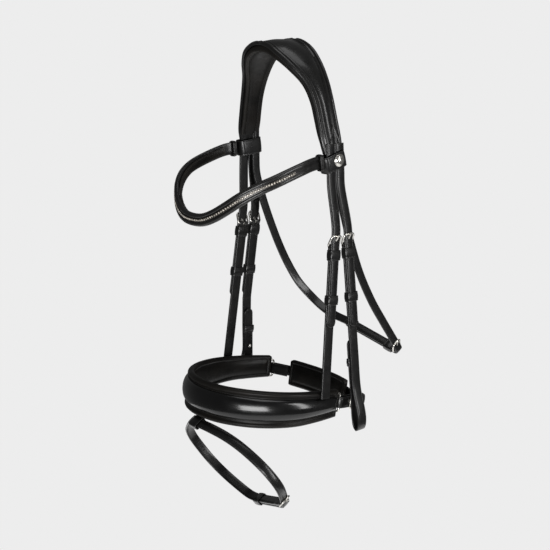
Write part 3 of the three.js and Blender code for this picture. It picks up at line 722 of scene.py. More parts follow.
def punched(shape, at, tip):
    """Punched holes: each a dished ring pressed into the strap round a disc painted near-black as the shade
    inside the hole.
    """
    for z in HOLES:
        if z > tip + 12:
            for face in (1, -1):
                centre = at.out([BILLET_X + face * BILLET_THICK / 2, 0, z])
                lathe(shape, HOLE_RIM, centre, face * at.axes[0], 16)
                lathe(shape, HOLE_SHADE_DISC, centre, face * at.axes[0], 16, look=HOLE_SHADE_LOOK)


# ---- cheekpieces and hangers ----

CHEEKS = {
    "near": dict(side=1, bar=(90.4, 44, -238), foot=(97, 47, -320), top=32.6, tip=-108, bow=0, lift=0),
    "off": dict(side=-1, bar=(-90.4, 37.5, -236), foot=(-97, 30.8, -320), top=33.5, tip=-106,
                bow=0.135, lift=14),
}
HANGERS = {
    "near": dict(side=1, bar=(90.4, 21, -238), foot=(101.2, 0.6, -434), top=17.6, tip=-104),
    "off": dict(side=-1, bar=(-90.4, 16.5, -236), foot=(-101.2, -5, -434), top=17.6, tip=-104),
}
INNER_THICK = 2.5  # the turned-up end's thickness in the CAD; here it is thinner by the gap
TURN_UP = 122  # how much of the strap is turned up, at no lift
BIT_BAND_HEIGHT, BIT_BAND_HALF = 10, 7.4
HOOK_STUD = [
    (0, 0), (3, 0), (3.1, 0.5), (3, 1), (1.5, 1.3), (1.4, 4.5),
    (2.3, 4.9), (2.6, 5.6), (2.3, 6.6), (1.3, 7.3), (0, 7.45),
]
INNER_X = -(STRAP_THICK / 2 + GAP + BAND_WALL + GAP + INNER_THICK / 2)
STUD_Z = -182
BIT_KEEPER_Z = -157
BIT_BEND = -115
THROAT_INSET = 6.5  # how far the throatlatch lies inside the crown's straps


def crown_line(y_root, y_end):
    """Where a crown tongue's middle lies from front to back, by its height."""
    return lambda z: y_root + (y_end - y_root) * (-104 - z) / 57


def crown_tail(side, heights):
    """The throatlatch's middle at some heights, where it lies inside the crown's rear strap."""
    rear = crown_line(31.5, 33.5)
    return [(side * (hang_x(z) - THROAT_INSET), rear(z), z) for z in heights]


def bit_route(length, lean, lift):
    """A cheek strap's way down to the bit's ring, round it and up inside itself."""
    outline = [
        (0, -length),
        (0, -150),
        (0, -188),
        (2, -204 + lift / 2),
        (5.6, -220 + lift),
        (6.9, -234 + lift),
        (4.8, -244.5 + lift),
        (0.9, -249 + lift),
        (-3, -245 + lift),
        (-4.8, -234 + lift),
        (INNER_X, -214 + lift),
        (INNER_X, -188),
        (INNER_X, -150),
        (INNER_X, -127),
    ]
    return [(x, -lean(z), z) for x, z in outline]


def fittings(name, body, at, billet_line, billet_node):
    """What joins a hanging strap to the crown: the crown's own strap, a buckle, a keeper and a runner."""
    billet(f"{name}_top", body, at, *billet_line, STRAP_WIDTH, billet_node)
    buckle(name, body, at, STRAP_WIDTH)
    tongue(name)
    half = STRAP_WIDTH / 2 + GAP
    fixed_band(name, body, at, half)
    keeper(f"{name}_runner_loop", f"{name}_runner_band", at, RUNNER_Z, RUNNER_HEIGHT, half,
           node=f"{name}_runner")


def fixed_band(name, body, at, half):
    """The keeper that is sewn to a strap just below its buckle."""
    keeper(f"{name}_fixed_band", body, at, FIXED_KEEPER_Z, FIXED_KEEPER_HEIGHT, half,
           node=f"{name}_fixed_keeper")


def cheekpiece(name, side, bar, foot, top, tip, bow, lift):
    at = Frame(bar, foot, (side, 0, 0))
    body = f"{name}_cheekpiece"
    bow *= -side

    def lean(z):
        return bow * max(0, BIT_BEND - z)

    shape = Shape()
    run = folded_run(shape, at, STRAP_WIDTH, 112)
    end = Path(np.array([at.out(p) for p in bit_route(111, lean, lift)]), at.across)
    thin = (INNER_THICK - GAP) / STRAP_THICK
    turn = end.length - TURN_UP - 5 + lift

    def scale(d):
        return (1, 1 + (thin - 1) * min(1, max(0, (d - turn + 20) / 40)))

    ribbon(shape, end, leather_section(STRAP_WIDTH, STRAP_THICK, crown=0.1), tip=7, scale=scale)
    strap_stitches(shape, run, STRAP_WIDTH, STRAP_THICK, 2, 22)
    strap_stitches(shape, end, STRAP_WIDTH, STRAP_THICK, 0, 130)
    piece = shape.make(f"{name}_cheek_leather", STRAP, THREAD)
    settle(piece, body, "strap_leather", f"{name}_cheek_strap")
    fittings(f"{name}_cheek", body, at, (side, top, crown_line(31.5, 32.5), tip), f"{name}_cheek_billet")
    inner = (INNER_X - INNER_THICK / 2 - GAP, INNER_X + INNER_THICK / 2 + GAP)
    keeper(f"{name}_bit_band", body, at, BIT_KEEPER_Z, BIT_BAND_HEIGHT, BIT_BAND_HALF, *inner,
           shift=-lean(BIT_KEEPER_Z), node=f"{name}_bit_keeper")
    stud = Shape()
    centre = at.out([-STRAP_THICK / 2 - GAP, -lean(STUD_Z), STUD_Z])
    lathe(stud, HOOK_STUD, centre, -at.axes[0], 24)
    settle(stud.make(f"{name}_bit_stud", CHROME), body, "chrome", f"{name}_bit_hook_stud")


def hanger(name, side, bar, foot, top, tip):
    at = Frame(bar, foot, (side, 0, 0))
    shape = Shape()
    length = float(np.linalg.norm(vec(*bar) - vec(*foot)))
    run = folded_run(shape, at, STRAP_WIDTH, length)
    strap_stitches(shape, run, STRAP_WIDTH, STRAP_THICK, 2, 22)
    piece = shape.make(f"{name}_hanger_leather", STRAP, THREAD)
    settle(piece, "noseband", "strap_leather", f"{name}_hanger_strap")
    line = (side, top, crown_line(17, 17.5), tip)
    fittings(f"{name}_hanger", "noseband", at, line, f"{name}_noseband_billet")


for side_name in ("near", "off"):
    cheekpiece(side_name, **CHEEKS[side_name])
    hanger(side_name, **HANGERS[side_name])

# ---- crown ----

# x, front edge, rear edge, height, and how far the front edge dips
CROWN_OUTLINE = [
    (86.2, 8, 38, -122, 0),
    (84.4, 4.2, 38.5, -107, 0),
    (78.5, 2, 36.5, -80, 0),
    (72, 0, 35.5, -56, 0),
    (63, -5, 35.5, -34, 1),
    (50, -16, 35.5, -13, 3),
    (33, -25, 35.5, 4, 4),
    (13, -27, 35, 13, 3),
]
CROWN_STEPS = 12
PAD_END = -113  # height at which the crown's padding runs out
PAD_RISE = 26  # height over which the padding reaches its full depth
PAD_LEAST, PAD_MOST = 4.9, 13.0  # depth of the padding's lowest face at its ends and in the middle
PAD_TAPER = 0.05  # how much shallower the padding gets for each millimetre aside
COVER_UNDERSIDE = 4.3
MIDDLE_SEAM = 2.2  # depth of the seam that joins the cover's halves


def crown_lines():
    """The crown's front edge, rear edge and inward direction, from the off side to the near side."""
    rows = [(-x, f, r, z, d) for x, f, r, z, d in CROWN_OUTLINE] + CROWN_OUTLINE[::-1]
    front = smooth_line([(x, f, z - d) for x, f, r, z, d in rows], CROWN_STEPS)
    rear = smooth_line([(x, r, z) for x, f, r, z, d in rows], CROWN_STEPS)
    along = np.gradient((front + rear) / 2, axis=0)
    along /= np.linalg.norm(along, axis=1, keepdims=True)
    inward = np.cross(along, BACK)
    inward /= np.linalg.norm(inward, axis=1, keepdims=True)
    middle = (front + rear) / 2 - vec(0, 17, -150)
    flip = np.sum(inward * middle, axis=1) > 0
    inward[flip] *= -1
    return front, rear, inward


def crown_rings(section, keep=lambda z: np.full(len(z), True)):
    """Rings of (share of the width, offset, depth, share of the pad's depth)."""
    front, rear, inward = crown_lines()
    kept = keep(front[:, 2])
    front, rear, inward = front[kept], rear[kept], inward[kept]
    width = np.linalg.norm(rear - front, axis=1)
    sideways = (rear - front) / width[:, None]
    x, z = np.abs(front[:, 0]), front[:, 2]
    ends = np.clip((z - PAD_END) / PAD_RISE, 0, 1)
    pad = PAD_LEAST + (PAD_MOST - PAD_TAPER * x - PAD_LEAST) * np.sin(ends * math.pi / 2) ** 0.8
    seam_dip = MIDDLE_SEAM * np.exp(-((front[:, 0] / 2.4) ** 2))
    rings = []
    for share, offset, depth, deep in section:
        place = front + sideways * (share * width + offset)[:, None]
        dip = seam_dip if depth < 1.5 else 0
        rings.append(place + inward * (depth + dip + deep * (pad - COVER_UNDERSIDE))[:, None])
    return np.stack(rings, 1)


def mirrored(half):
    return half + [(1 - s, -o, *rest) for s, o, *rest in half[::-1]]


COVER_TOP = mirrored([
    (0, 0.0, 2.3, 0),
    (0, 0.4, 0.9, 0),
    (0, 1.4, -0.8, 0),
    (0, 3.0, -1.6, 0),
    (0, 4.6, -1.2, 0),
    (0, 5.5, 0.3, 0),
    (0, 5.9, 0.8, 0),
    (0, 6.5, 0.2, 0),
    (0, 8.0, -1.3, 0),
    (0, 9.6, -1.4, 0),
    (0, 10.8, -0.3, 0),
    (0, 11.3, 0.1, 0),
    (0, 12.4, -0.6, 0),
    (0.46, 0, -1.6, 0),
])
COVER_UNDER = [
    (1, -0.6, 3.6, 0), (1, -2, 4.0, 0), (0.6, 0, 4.0, 0),
    (0.4, 0, 4.0, 0), (0, 2, 4.0, 0), (0, 0.6, 3.6, 0),
]
PAD_UNDER = mirrored([
    (0, 3.4, 4.3, 0.05),
    (0, 2.4, 4.3, 0.3),
    (0, 2.2, 4.3, 0.55),
    (0, 2.9, 4.3, 0.85),
    (0, 4.6, 4.3, 1.02),
    (0, 6.8, 4.3, 1.0),
    (0, 8.4, 4.3, 0.8),
    (0, 8.9, 4.3, 0.76),
    (0, 9.6, 4.3, 0.82),
    (0, 11.4, 4.3, 1.02),
    (0.36, 0, 4.3, 1.1),
    (0.46, 0, 4.3, 1.12),
])
PAD_TOP = [(1, -5, 4.3, 0), (0.6, 0, 4.3, 0), (0.4, 0, 4.3, 0), (0, 5, 4.3, 0)]


def seam(shape, rings, column, lift):
    """Stitches along one column of the crown's rings."""
    stitch_line(shape, Path(rings[::2, column], BACK), 0, lift, 3.0, 3.0)


def add_crown():
    cover = Shape()
    rings = crown_rings(COVER_TOP + COVER_UNDER)
    cover.add(*skin(rings))
    for column in (6, len(COVER_TOP) - 7):
        seam(cover, rings, column, -0.12)
    for side in (1, -1):
        dart(cover, side)
        end = Path(crown_tail(side, (-106, -120, -135, -147)), BACK)
        ribbon(cover, end, leather_section(11, BILLET_THICK))
    settle(cover.make("crown_leather", STRAP, THREAD), "headpiece", "strap_leather", "crown_cover")

    pad = Shape()
    rings = crown_rings(PAD_TOP + PAD_UNDER, lambda z: z > PAD_END)
    seams = (len(PAD_TOP) + 7, len(PAD_TOP) + len(PAD_UNDER) - 8)
    padded_skin(pad, rings, [*range(len(PAD_TOP) + 2), *seams, -2, -1], PAD_SWELL)
    for column in seams:
        seam(pad, rings, column, 0.1)
    piece = pad.make("crown_padding", PAD, THREAD)
    settle(piece, "headpiece", "pad_leather", "crown_pad")


def dart(shape, side):
    """The stitched V where the crown divides into its hanging straps."""
    apex = vec(24.5, -88.5)
    welt = np.array([(1.1 * math.cos(a) + 1.2, 1.0 * math.sin(a)) for a in np.radians(range(0, 360, 45))])
    for foot in (vec(13, -119), vec(35.5, -119)):
        points = [on_crown_side(side, *(apex + (foot - apex) * t)) for t in (0, 0.33, 0.66, 1)]
        path = Path(points, BACK)
        faces_out = path.at([1.0])[2][0][0] * side
        stitch_line(shape, path, 0, math.copysign(0.25, faces_out), 0.5, 0.5)
        shape.add(*skin(path.place(np.linspace(0, path.length, 10), np.repeat(welt[None], 10, 0))))


def on_crown_side(side, y, z):
    """A point of the crown's outer face on one side, by its depth and height."""
    heights = [row[3] for row in CROWN_OUTLINE]
    return [side * (np.interp(z, heights[:6], [row[0] for row in CROWN_OUTLINE][:6]) + 1.3), y, z]


add_crown()

# ---- browband ----

BROW_HALF = [
    (87.9, 4, -131),
    (89.5, -12, -132),
    (90, -37, -138),
    (87, -69, -148),
    (78, -90, -157),
    (66, -106, -168),
    (52, -117, -180),
    (37, -124, -190),
    (20, -128, -197),
]
BROW_FRONT = (0, -129.5, -199)
LOOP_FRONT, LOOP_REAR, LOOP_HEIGHT = 6.5, 39.2, 20.5
LOOPS = {"near": dict(side=1, z=-132, tilt=16), "off": dict(side=-1, z=-129.5, tilt=6)}
LOOP_X, LOOP_HALF, LOOP_WALL = 84.7, 6.8, 1.6
STONE_PITCH = 3.5
STONE_RADIUS = 1.2
STONE = [(1.0, 0.7), (STONE_RADIUS, 1.1), (1.05, 1.55), (0.6, 1.85)]
CUP = [(1.5, 0.3), (1.6, 0.9), (1.45, 1.1), (1.25, 0.9)]
STONE_TRIM = 46.0  # bare band at each end of the row
GROOVE = np.array([
    (-2.1, 0), (-2.0, 0.8), (-1.75, 0.9), (-1.6, 0.35),
    (1.6, 0.35), (1.75, 0.9), (2.0, 0.8), (2.1, 0),
])
SETTING_LOOK = 1
DOME = [
    (0, 0), (7.8, 0), (8, 0.4), (7.9, 1.0), (7.3, 1.4), (6.9, 1.5),
    (6.2, 2.3), (5, 3.0), (3.4, 3.5), (1.7, 3.8), (0, 3.9),
]


def brow_points():
    return [(-x, y, z) for x, y, z in BROW_HALF] + [BROW_FRONT] + BROW_HALF[::-1]


BROW_SECTION = np.array([
    (-8.1, 0.2), (-7.8, -1.6), (-6.6, -2.5), (-3, -2.6), (3, -2.6), (6.6, -2.5), (7.8, -1.6), (8.1, 0.2),
    (7.7, 1.7), (6.4, 3.1), (4.9, 3.7), (3.5, 3.3), (2.9, 2.5), (0, 2.4),
    (-2.9, 2.5), (-3.5, 3.3), (-4.9, 3.7), (-6.4, 3.1), (-7.7, 1.7),
])
BROW_LINING = np.array([
    (-5.4, 0), (-5.1, -1.0), (-3.8, -1.7), (0, -2.0), (3.8, -1.7), (5.1, -1.0),
    (5.4, 0), (5.0, 0.9), (3.6, 1.2), (-3.6, 1.2), (-5.0, 0.9),
])


def moved(path, outward, start, end, step=3.0):
    """A path pushed outward by some millimetres between two distances."""
    d = np.arange(start, end, step)
    mid, _, out, _ = path.at(d)
    return Path(mid + out * outward, path.across)


def add_browband():
    path = Path(brow_points(), UP)

    def ends(d):
        near_end = min(d, path.length - d)
        share = min(1, max(0, (near_end - 14) / 22))
        return (1.03 - 0.03 * share, 0.55 + 0.45 * share)

    band = Shape()
    ribbon(band, path, BROW_SECTION, step=2.5, scale=ends)
    for across in (-6.9, 6.9):
        stitch_line(band, path, across, 2.85, 44, 44)
    settle(band.make("browband_leather", STRAP, THREAD), "browband", "strap_leather", "browband_strap")
    lining = Shape()
    inner = moved(path, -4.3, 22, path.length - 22)
    marks = np.linspace(0, inner.length, int(inner.length / 2.5))
    rings = inner.place(marks, np.repeat(BROW_LINING[None], len(marks), 0))
    padded_skin(lining, rings, [2, 4, 7, 8, 9, 10], 0.6)
    for across in (-3.9, 3.9):
        stitch_line(lining, inner, across, -1.72, 3, 3)
    piece = lining.make("browband_padding", PAD, THREAD)
    settle(piece, "browband", "pad_leather", "browband_lining")
    add_stones(path)
    for name, loop in LOOPS.items():
        add_loop(name, **loop)


def add_loop(name, side, z, tilt):
    """The browband's end: a loop round the crown's straps, and the keeper before it."""
    up = vec(0, -math.sin(math.radians(tilt)), math.cos(math.radians(tilt)))
    middle = vec(side * LOOP_X, (LOOP_FRONT + LOOP_REAR) / 2, z)
    at = Frame(middle, middle - up, (side, 0, 0))
    half = (LOOP_REAR - LOOP_FRONT) / 2
    keeper(f"{name}_brow_loop", "browband", at, 0, LOOP_HEIGHT, half, -LOOP_HALF, LOOP_HALF,
           wall=LOOP_WALL, node=f"{name}_browband_loop", corner=5.6)
    middle = vec(side * 88.3, -0.8, -131.6)
    along = vec(0, -1, -math.tan(math.radians(tilt)) / 2)
    at = Frame(middle, middle + along, (side, 0, 0))
    keeper(f"{name}_brow_band", "browband", at, 0, 5.5, 8.9, -3.6, 4.1,
           wall=1.4, node=f"{name}_browband_keeper", corner=2.8)


def add_stones(path):
    """A channel of cut stones, each in a small metal cup, along the browband's middle."""
    channel = Shape()
    row = moved(path, 2.4, STONE_TRIM, path.length - STONE_TRIM, 2.5)
    ribbon(channel, row, GROOVE, step=2.5, look=SETTING_LOOK)
    count = int((row.length - 4) / STONE_PITCH)
    mid, _, out, _ = row.at(2 + (np.arange(count) + 0.5) * STONE_PITCH)
    for i in range(count):
        lathe(channel, CUP, mid[i], out[i], 12, look=SETTING_LOOK)
        lathe(channel, STONE, mid[i], out[i], 8)
    piece = channel.make("browband_stones", CRYSTAL, SETTING, sharp=18)
    settle(piece, "browband", "crystal", "browband_crystal_row")


def add_stud():
    shape = Shape()
    lathe(shape, DOME, (LOOP_X + LOOP_HALF + LOOP_WALL + GAP, 26, -130), (1, 0, 0), 40)
    settle(shape.make("domed_stud", CHROME, sharp=35), "browband", "chrome", "browband_stud")


add_browband()
add_stud()

# ---- noseband ----

NOSE_TOP, NOSE_TILT = -425.6, 0.15
NOSE_UP = unit(vec(0, NOSE_TILT, 1))
NOSE_PLAN = [
    (-86.4, 62, 32),
    (-93, 32, 34),
    (-96, 0, 36),
    (-93, -34, 40),
    (-82, -66, 44),
    (-63, -94, 47),
    (-35, -115, 49),
    (0, -124, 49),
    (35, -117, 49),
    (63, -95, 49),
    (82, -67, 48),
    (93, -34, 46),
    (96, 0, 42),
    (94.5, 32, 38),
]
JAW_PLAN = [(-56, 76), (-28, 82), (0, 85), (30, 84), (58, 78)]
JAW_DEPTH, CHIN_DROP, CHIN_WIDTH = 38, 19, 15


def on_nose(x, y, drop=0.0):
    return vec(x, y, NOSE_TOP - NOSE_TILT * y) - NOSE_UP * drop


def on_chin(p):
    return on_nose(p[0], p[1], CHIN_DROP)


def noseband_path():
    line = smooth_line([(*on_nose(x, y), depth) for x, y, depth in NOSE_PLAN])
    path = Path([on_nose(x, y) for x, y, _ in NOSE_PLAN], NOSE_UP)
    s = lengths_of(line[:, :3])
    return path, lambda d: np.interp(d, s, line[:, 3])


def profile(points, distance):
    """The value of a [distance, value] profile, as smooth as its points."""
    return np.interp(distance, [p[0] for p in points], [p[1] for p in points])


def grid_marks(length, fine, step):
    """Distances over a length: fine marks at both ends and even steps between."""
    inner = np.arange(fine[-1] + step, length - fine[-1] - step / 2, step)
    return np.concatenate([fine, inner, length - np.array(fine[::-1])])


PAD_STEP = 3.2
PAD_FINE = [0, 0.35, 1.0, 2.0, 3.2, 4.4, 5.4, 6.2, 7.0, 8.2, 9.8]


def pillow(shape, path, width_at, outer, inner, rim, corner=5.0, seam_at=None, covered=False):
    """A closed pad along a path: outer and inner give the faces' heights by distance from the border.

    With a seam, at a range of distances from the border, the filling swells it on both sides of
    the seam, and only outside the seam on an outer face that a cover hides.
    """
    along_marks = grid_marks(path.length, PAD_FINE, PAD_STEP)
    mid, wide, out, _ = path.at(along_marks)
    widths = np.array([width_at(d) for d in along_marks])
    share = grid_marks(1.0, np.array(PAD_FINE) / widths.mean(), PAD_STEP / widths.mean())
    rows = len(along_marks), len(share)
    end = np.minimum(along_marks, path.length - along_marks)
    cut = corner - np.sqrt(np.maximum(corner**2 - np.maximum(corner - end, 0) ** 2, 0))
    down = cut[:, None] + share[None, :] * (widths - 2 * cut)[:, None]
    edge = np.minimum(np.minimum(down, widths[:, None] - down), end[:, None])
    edge = np.where(np.minimum(share, 1 - share)[None, :] == 0, 0, np.maximum(edge, 0))
    base = mid[:, None] - down[:, :, None] * wide[:, None]
    high = base + (rim + profile(outer, edge) - profile(outer, 0))[:, :, None] * out[:, None]
    low = base + (rim + profile(inner, edge) - profile(inner, 0))[:, :, None] * out[:, None]
    n, m = rows
    verts = np.concatenate([high.reshape(-1, 3), low.reshape(-1, 3)])
    remap = np.arange(2 * n * m)
    border = np.zeros((n, m), bool)
    border[[0, -1]] = True
    border[:, [0, -1]] = True
    remap[n * m:][border.reshape(-1)] = np.arange(n * m)[border.reshape(-1)]
    faces = []
    for i in range(n - 1):
        for j in range(m - 1):
            a, b, c, d = i * m + j, i * m + j + 1, (i + 1) * m + j + 1, (i + 1) * m + j
            faces.append((a, b, c, d))
            faces.append(tuple(int(remap[n * m + q]) for q in (d, c, b, a)))
    used = sorted({q for f in faces for q in f})
    place = {q: k for k, q in enumerate(used)}
    faces = [tuple(place[q] for q in f) for f in faces]
    verts = verts[used]
    if volume_of(verts, faces) < 0:
        faces = [f[::-1] for f in faces]
    if seam_at:
        pinned = (edge < 0.5) | ((edge > seam_at[0]) & (edge < seam_at[1]))
        pinned_high = (edge < 0.5) | (edge > seam_at[0]) if covered else pinned
        held = np.concatenate([pinned_high.reshape(-1), pinned.reshape(-1)])[used]
        verts = puffed(verts, faces, held, PAD_SWELL)
    return shape.add(verts, faces)


NOSE_OUTER = [
    (0, 0), (0.35, 1.6), (1, 3.0), (2, 4.3), (3.2, 5.1), (4.4, 5.4),
    (5.4, 5.1), (6.2, 4.4), (7.0, 3.9), (8.2, 3.8), (30, 3.8),
]
NOSE_INNER = [
    (0, 0), (0.35, -1.5), (1, -2.6), (2, -3.6), (3.2, -4.2), (4.4, -4.4),
    (5.4, -4.1), (6.2, -3.2), (7.0, -3.1), (8.2, -4.1), (9.8, -4.6), (16, -5.2),
    (30, -5.4),
]
COVER_OUTER = [
    (0, 0), (0.35, 0.9), (1, 1.7), (2, 2.6), (3.2, 3.4), (4.4, 4.0),
    (5.4, 4.4), (7.0, 4.9), (9.8, 5.5), (13, 5.9), (20, 6.1),
]
COVER_INNER = [(0, 0), (0.35, -0.25), (1, -0.3), (30, -0.3)]
JAW_OUTER = [
    (0, 0), (0.35, 1.5), (1, 2.6), (2, 3.4), (3.2, 3.8), (4.4, 3.5),
    (5.4, 2.5), (6.2, 2.4), (7.0, 3.2), (8.2, 4.0), (9.8, 4.5), (16, 5.0),
    (30, 5.1),
]
RING_HALF, RING_CORNER, RING_WIRE = 12, 3, 1.4
COVER_DROP = 9.3  # the patent cover starts this far below the top of the pad
COVER_LESS = 20.0  # and it is this much less deep than the pad
RING_BARS = {"near": ((90.6, 27.5), (90.2, 38.5)), "off": ((-84.2, 54.5), (-82, 65.4))}


def add_noseband():
    path, depth = noseband_path()
    pad = Shape()
    pillow(pad, path, depth, NOSE_OUTER, NOSE_INNER, -4.0, seam_at=(5.9, 7.3), covered=True)
    piece = pad.make("noseband_padding", PAD, THREAD)
    settle(piece, "noseband", "pad_leather", "noseband_pad")

    cover = Shape()
    mid, _, _, _ = path.at(np.arange(3, path.length - 3, 4.0))
    face = Path([m - NOSE_UP * COVER_DROP for m in mid], NOSE_UP)
    pillow(cover, face, lambda d: depth(d) - COVER_LESS, COVER_OUTER, COVER_INNER, 0.4, corner=2.5)
    piece = cover.make("patent_cover", PATENT, sharp=70)
    settle(piece, "noseband", "patent_leather", "noseband_cover")
    trim = Shape()
    for drop, from_top in ((8.1, True), (9.4, False)):
        marks = np.arange(4, path.length - 4, 4.0)
        middle, _, _, _ = path.at(marks)
        drops = np.full(len(marks), drop) if from_top else depth(marks) - drop
        line = Path(middle - NOSE_UP * drops[:, None], NOSE_UP)
        stitch_line(trim, line, 0, 0.25, 1, 1)
    settle(trim.make("noseband_stitching", STRAP, THREAD), "noseband", "pad_leather")

    for name, (bar_plan, far_plan) in RING_BARS.items():
        ring(name, on_chin(bar_plan), on_chin(far_plan))

    jaw = Shape()
    line = Path([on_nose(x, y) for x, y in JAW_PLAN], NOSE_UP)
    inner = [(d, -v) for d, v in JAW_OUTER]
    pillow(jaw, line, lambda d: JAW_DEPTH, JAW_OUTER, inner, 0.0, corner=6, seam_at=(5, 6.6))
    for drop in (5.8, JAW_DEPTH - 5.8):
        for lift in (2.5, -2.5):
            row = Path([on_nose(x, y, drop) for x, y in JAW_PLAN], NOSE_UP)
            stitch_line(jaw, row, 0, lift, 6.5, 6.5)
    piece = jaw.make("jaw_padding", PAD, THREAD)
    settle(piece, "noseband", "pad_leather", "jaw_pad")


def ring(name, bar, far):
    shape = Shape()
    along = unit(far - bar)
    length = np.linalg.norm(far - bar)
    loop = [bar + NOSE_UP * h + along * s for h, s in rounded_loop(RING_HALF, 0, length, RING_CORNER)]
    closed_loop(shape, loop, np.cross(along, NOSE_UP), round_section(RING_WIRE))
    settle(shape.make(f"{name}_ring", CHROME), "noseband", "chrome", f"{name}_noseband_ring")


add_noseband()

# ---- chin strap ----

CHIN_BUCKLE = (88.2, 66)
CHIN_INNER_X = -3.2
REAR_RUN = [
    (-70, 75.4), (-57.2, 81.6), (-28.8, 87.8), (0, 90.8), (30.5, 89.8), (58, 84),
    (72, 78), (81, 70.5), (85, 62),
]


def turn_round(bar, start, end, radius):
    angles = np.radians(np.linspace(start, end, 5))
    return [(bar[0] + radius * math.cos(a), bar[1] + radius * math.sin(a)) for a in angles]


def add_chin_strap():
    bar = on_chin(CHIN_BUCKLE)
    at = Frame(bar, 2 * bar - on_chin(RING_BARS["near"][1]), (1, 0, 0))
    radius = (BILLET_X - CHIN_INNER_X) / 2
    off_turn = turn_round(RING_BARS["off"][1], -66, -246, radius)
    near_turn = turn_round(RING_BARS["near"][1], 184, 364, radius)
    plan = [(-59, 73.5), (-68, 68.4), *off_turn, *REAR_RUN, *near_turn]
    run = [at.out([BILLET_X - max(0, -z - 9) * 0.12, 0, z]) for z in (13, 0, -9, -19)]
    points = [on_chin(p) for p in plan] + run
    strap = Shape()
    path = Path(points, at.across)
    ribbon(strap, path, leather_section(CHIN_WIDTH, BILLET_THICK), step=1.8, tip=3)
    strap_stitches(strap, path, CHIN_WIDTH, BILLET_THICK, 30, 30)
    settle(strap.make("chin_leather", STRAP, THREAD), "noseband", "strap_leather", "chin_strap")
    chape = Shape()
    folded_run(chape, at, CHIN_WIDTH, 18)
    settle(chape.make("chin_chape_leather", STRAP, THREAD), "noseband", "strap_leather", "chin_chape")
    buckle("chin", "noseband", at, CHIN_WIDTH)
    tongue("chin")
    keeper("chin_band", "noseband", at, -8.5, 7, CHIN_WIDTH / 2 + GAP, node="chin_fixed_keeper")


add_chin_strap()

# ---- throatlatch and flash, whose straps wrap back over their own buckles ----

WRAP_RADIUS = BILLET_X + BAR_INSET
WRAP_TIP = -88  # height of a billet's tip from its heel bar
THROAT_BAR = (80, 150, -402)
THROAT_RUN = (-0.936, -0.205, 0.285)
THROAT_OUT = (-0.42, 0.47, -0.77)
THROAT_LENGTH, THROAT_WIDTH = 90, 12
THROAT_HEIGHTS = (-146, -132, -118)  # where its ends pass up through the browband loops
THROAT_OFF_ROUTE = [
    (-22, 130.6, -374.5),
    (-44, 127.5, -368),
    (-64, 118.5, -351.5),
    (-76, 105.5, -331),
    (-81.5, 90, -303),
    (-82.5, 75, -274),
    (-82.5, 60, -241),
    (-82.5, 46, -206),
    (-83, 38.5, -182),
    (-83.2, 34.5, -165),
]
THROAT_NEAR_ROUTE = [
    (83.2, 34.5, -165),
    (83, 38.5, -180),
    (82.5, 46.5, -205),
    (82, 58.5, -240),
    (82, 76.5, -285),
    (82, 99, -326),
    (81.5, 122, -359),
]


def turn_from(x, z):
    """How far a billet that comes from a point inside turns round the heel bar, and its frame with it."""
    to_bar = math.atan2(-z, -BAR_INSET - x)
    return to_bar + math.asin(WRAP_RADIUS / math.hypot(x + BAR_INSET, z)) + math.pi / 2


def wrap_over(turn, tip):
    """The billet's way straight through the turned frame, round the heel bar and down over the strap."""

    def around(angle, before=0.0):
        x = -BAR_INSET + WRAP_RADIUS * math.cos(angle) - before * math.sin(angle)
        return (x, 0, WRAP_RADIUS * math.sin(angle) + before * math.cos(angle))

    arc = [around(a) for a in turn * np.linspace(1, 0, 5)]
    return [around(turn, FRAME_RISE), *arc, (BILLET_X, 0, -12), (BILLET_X, 0, tip)]


def add_throatlatch():
    bar = vec(*THROAT_BAR)
    at = Frame(bar, bar + vec(*THROAT_RUN), THROAT_OUT)
    last = at.into(THROAT_NEAR_ROUTE[-1])
    turn = turn_from(last[0], last[2])
    wrap = [at.out(p) for p in wrap_over(turn, WRAP_TIP)]

    def near_across(t):
        return turned(t, BACK, at.across)

    def off_across(t):
        return -turned(1 - np.asarray(t), BACK, -at.across)

    near_shape = Shape()
    path = Path(crown_tail(1, THROAT_HEIGHTS)[::-1] + THROAT_NEAR_ROUTE + wrap, near_across)
    section = leather_section(THROAT_WIDTH, BILLET_THICK)
    ribbon(near_shape, path, section, tip=6)
    strap_stitches(near_shape, path, THROAT_WIDTH, BILLET_THICK, 45, 8)
    piece = near_shape.make("throatlatch_near_leather", STRAP, THREAD)
    bend(piece, "throatlatch", "strap_leather", "throatlatch_billet")

    off_shape = Shape()
    run = folded_run(off_shape, at, THROAT_WIDTH, THROAT_LENGTH - 2)
    route = [at.out([0, 0, 3 - THROAT_LENGTH])] + THROAT_OFF_ROUTE + crown_tail(-1, THROAT_HEIGHTS)
    tail = Path(route, off_across)
    ribbon(off_shape, tail, leather_section(THROAT_WIDTH, STRAP_THICK))
    strap_stitches(off_shape, run, THROAT_WIDTH, STRAP_THICK, 2, 22)
    strap_stitches(off_shape, tail, THROAT_WIDTH, STRAP_THICK, 0, 45)
    piece = off_shape.make("throatlatch_off_leather", STRAP, THREAD)
    bend(piece, "throatlatch", "strap_leather", "throatlatch_strap")

    buckle("throatlatch", "throatlatch", at, THROAT_WIDTH, turn)
    tongue("throatlatch")
    half = THROAT_WIDTH / 2 + GAP
    fixed_band("throatlatch", "throatlatch", at, half)
    keeper("throatlatch_runner_loop", "throatlatch_runner_band", at, -75, 7, half, node="throatlatch_runner")


add_throatlatch()

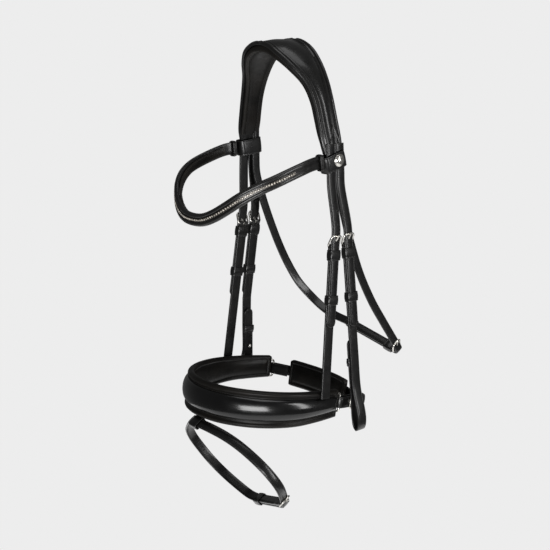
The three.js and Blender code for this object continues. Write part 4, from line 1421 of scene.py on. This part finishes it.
FLASH_CENTRE = vec(0, -84, -514)
FLASH_DOWN = unit(vec(0, 0.53, -0.85))
FLASH_BACK = unit(vec(0, 0.85, 0.53))
FLASH_BAR, FLASH_FOOT, FLASH_TOP = (76, 70, 0), (-4, 103.5, 0), (0, -66, -12)
FLASH_LENGTH, FLASH_WIDTH = 87, 13
FLASH_PLAN = [
    (-20, 104.5, 0),
    (-41, 95, 0),
    (-62, 79, 0),
    (-77, 58, 0),
    (-84, 35, 0),
    (-86, 13, 0),
    (-79, -7, 0),
    (-61, -26, -1),
    (-36, -47, -4),
    (-19, -60, -9),
    (-7, -65.6, -11.8),
    FLASH_TOP,
    (7, -65.6, -11.8),
    (19, -60, -9),
    (36, -47, -4),
    (52, -33, -1),
    (69, -17, 0),
    (84, 1, 0),
    (91, 20, 0),
    (91.5, 36, 0),
]


def in_flash(p):
    return FLASH_CENTRE + vec(p[0], 0, 0) + FLASH_DOWN * p[1] + FLASH_BACK * p[2]


def add_flash():
    bar, foot = in_flash(FLASH_BAR), in_flash(FLASH_FOOT)
    at = Frame(bar, foot, (bar - FLASH_CENTRE) - (bar - foot))
    last = at.into(in_flash(FLASH_PLAN[-1]))
    turn = turn_from(last[0], last[2])
    wrap = [at.out(p) for p in wrap_over(turn, WRAP_TIP)]
    loop = [in_flash(p) for p in FLASH_PLAN]
    shape = Shape()
    folded_run(shape, at, FLASH_WIDTH, FLASH_LENGTH - 2)
    path = Path([at.out([0, 0, 3 - FLASH_LENGTH])] + loop + wrap, at.across)
    ribbon(shape, path, leather_section(FLASH_WIDTH, BILLET_THICK), tip=6)
    strap_stitches(shape, path, FLASH_WIDTH, BILLET_THICK, 0, 8)
    settle(shape.make("flash_leather", STRAP, THREAD), "flash", "strap_leather", "flash_strap")
    buckle("flash", "flash", at, FLASH_WIDTH, turn)
    tongue("flash")
    keeper("flash_band", "flash", at, -76, 16, FLASH_WIDTH / 2 + GAP, node="flash_keeper")
    top = in_flash(FLASH_TOP)
    tab = Frame(top, top - vec(1, 0, 0), -FLASH_DOWN)
    half = BILLET_THICK / 2 + GAP
    keeper("flash_tab_loop", "flash", tab, 0, 14, FLASH_WIDTH / 2 + 2 * GAP, -half - 2, half + 0.4,
           wall=1.6, node="flash_tab")


add_flash()
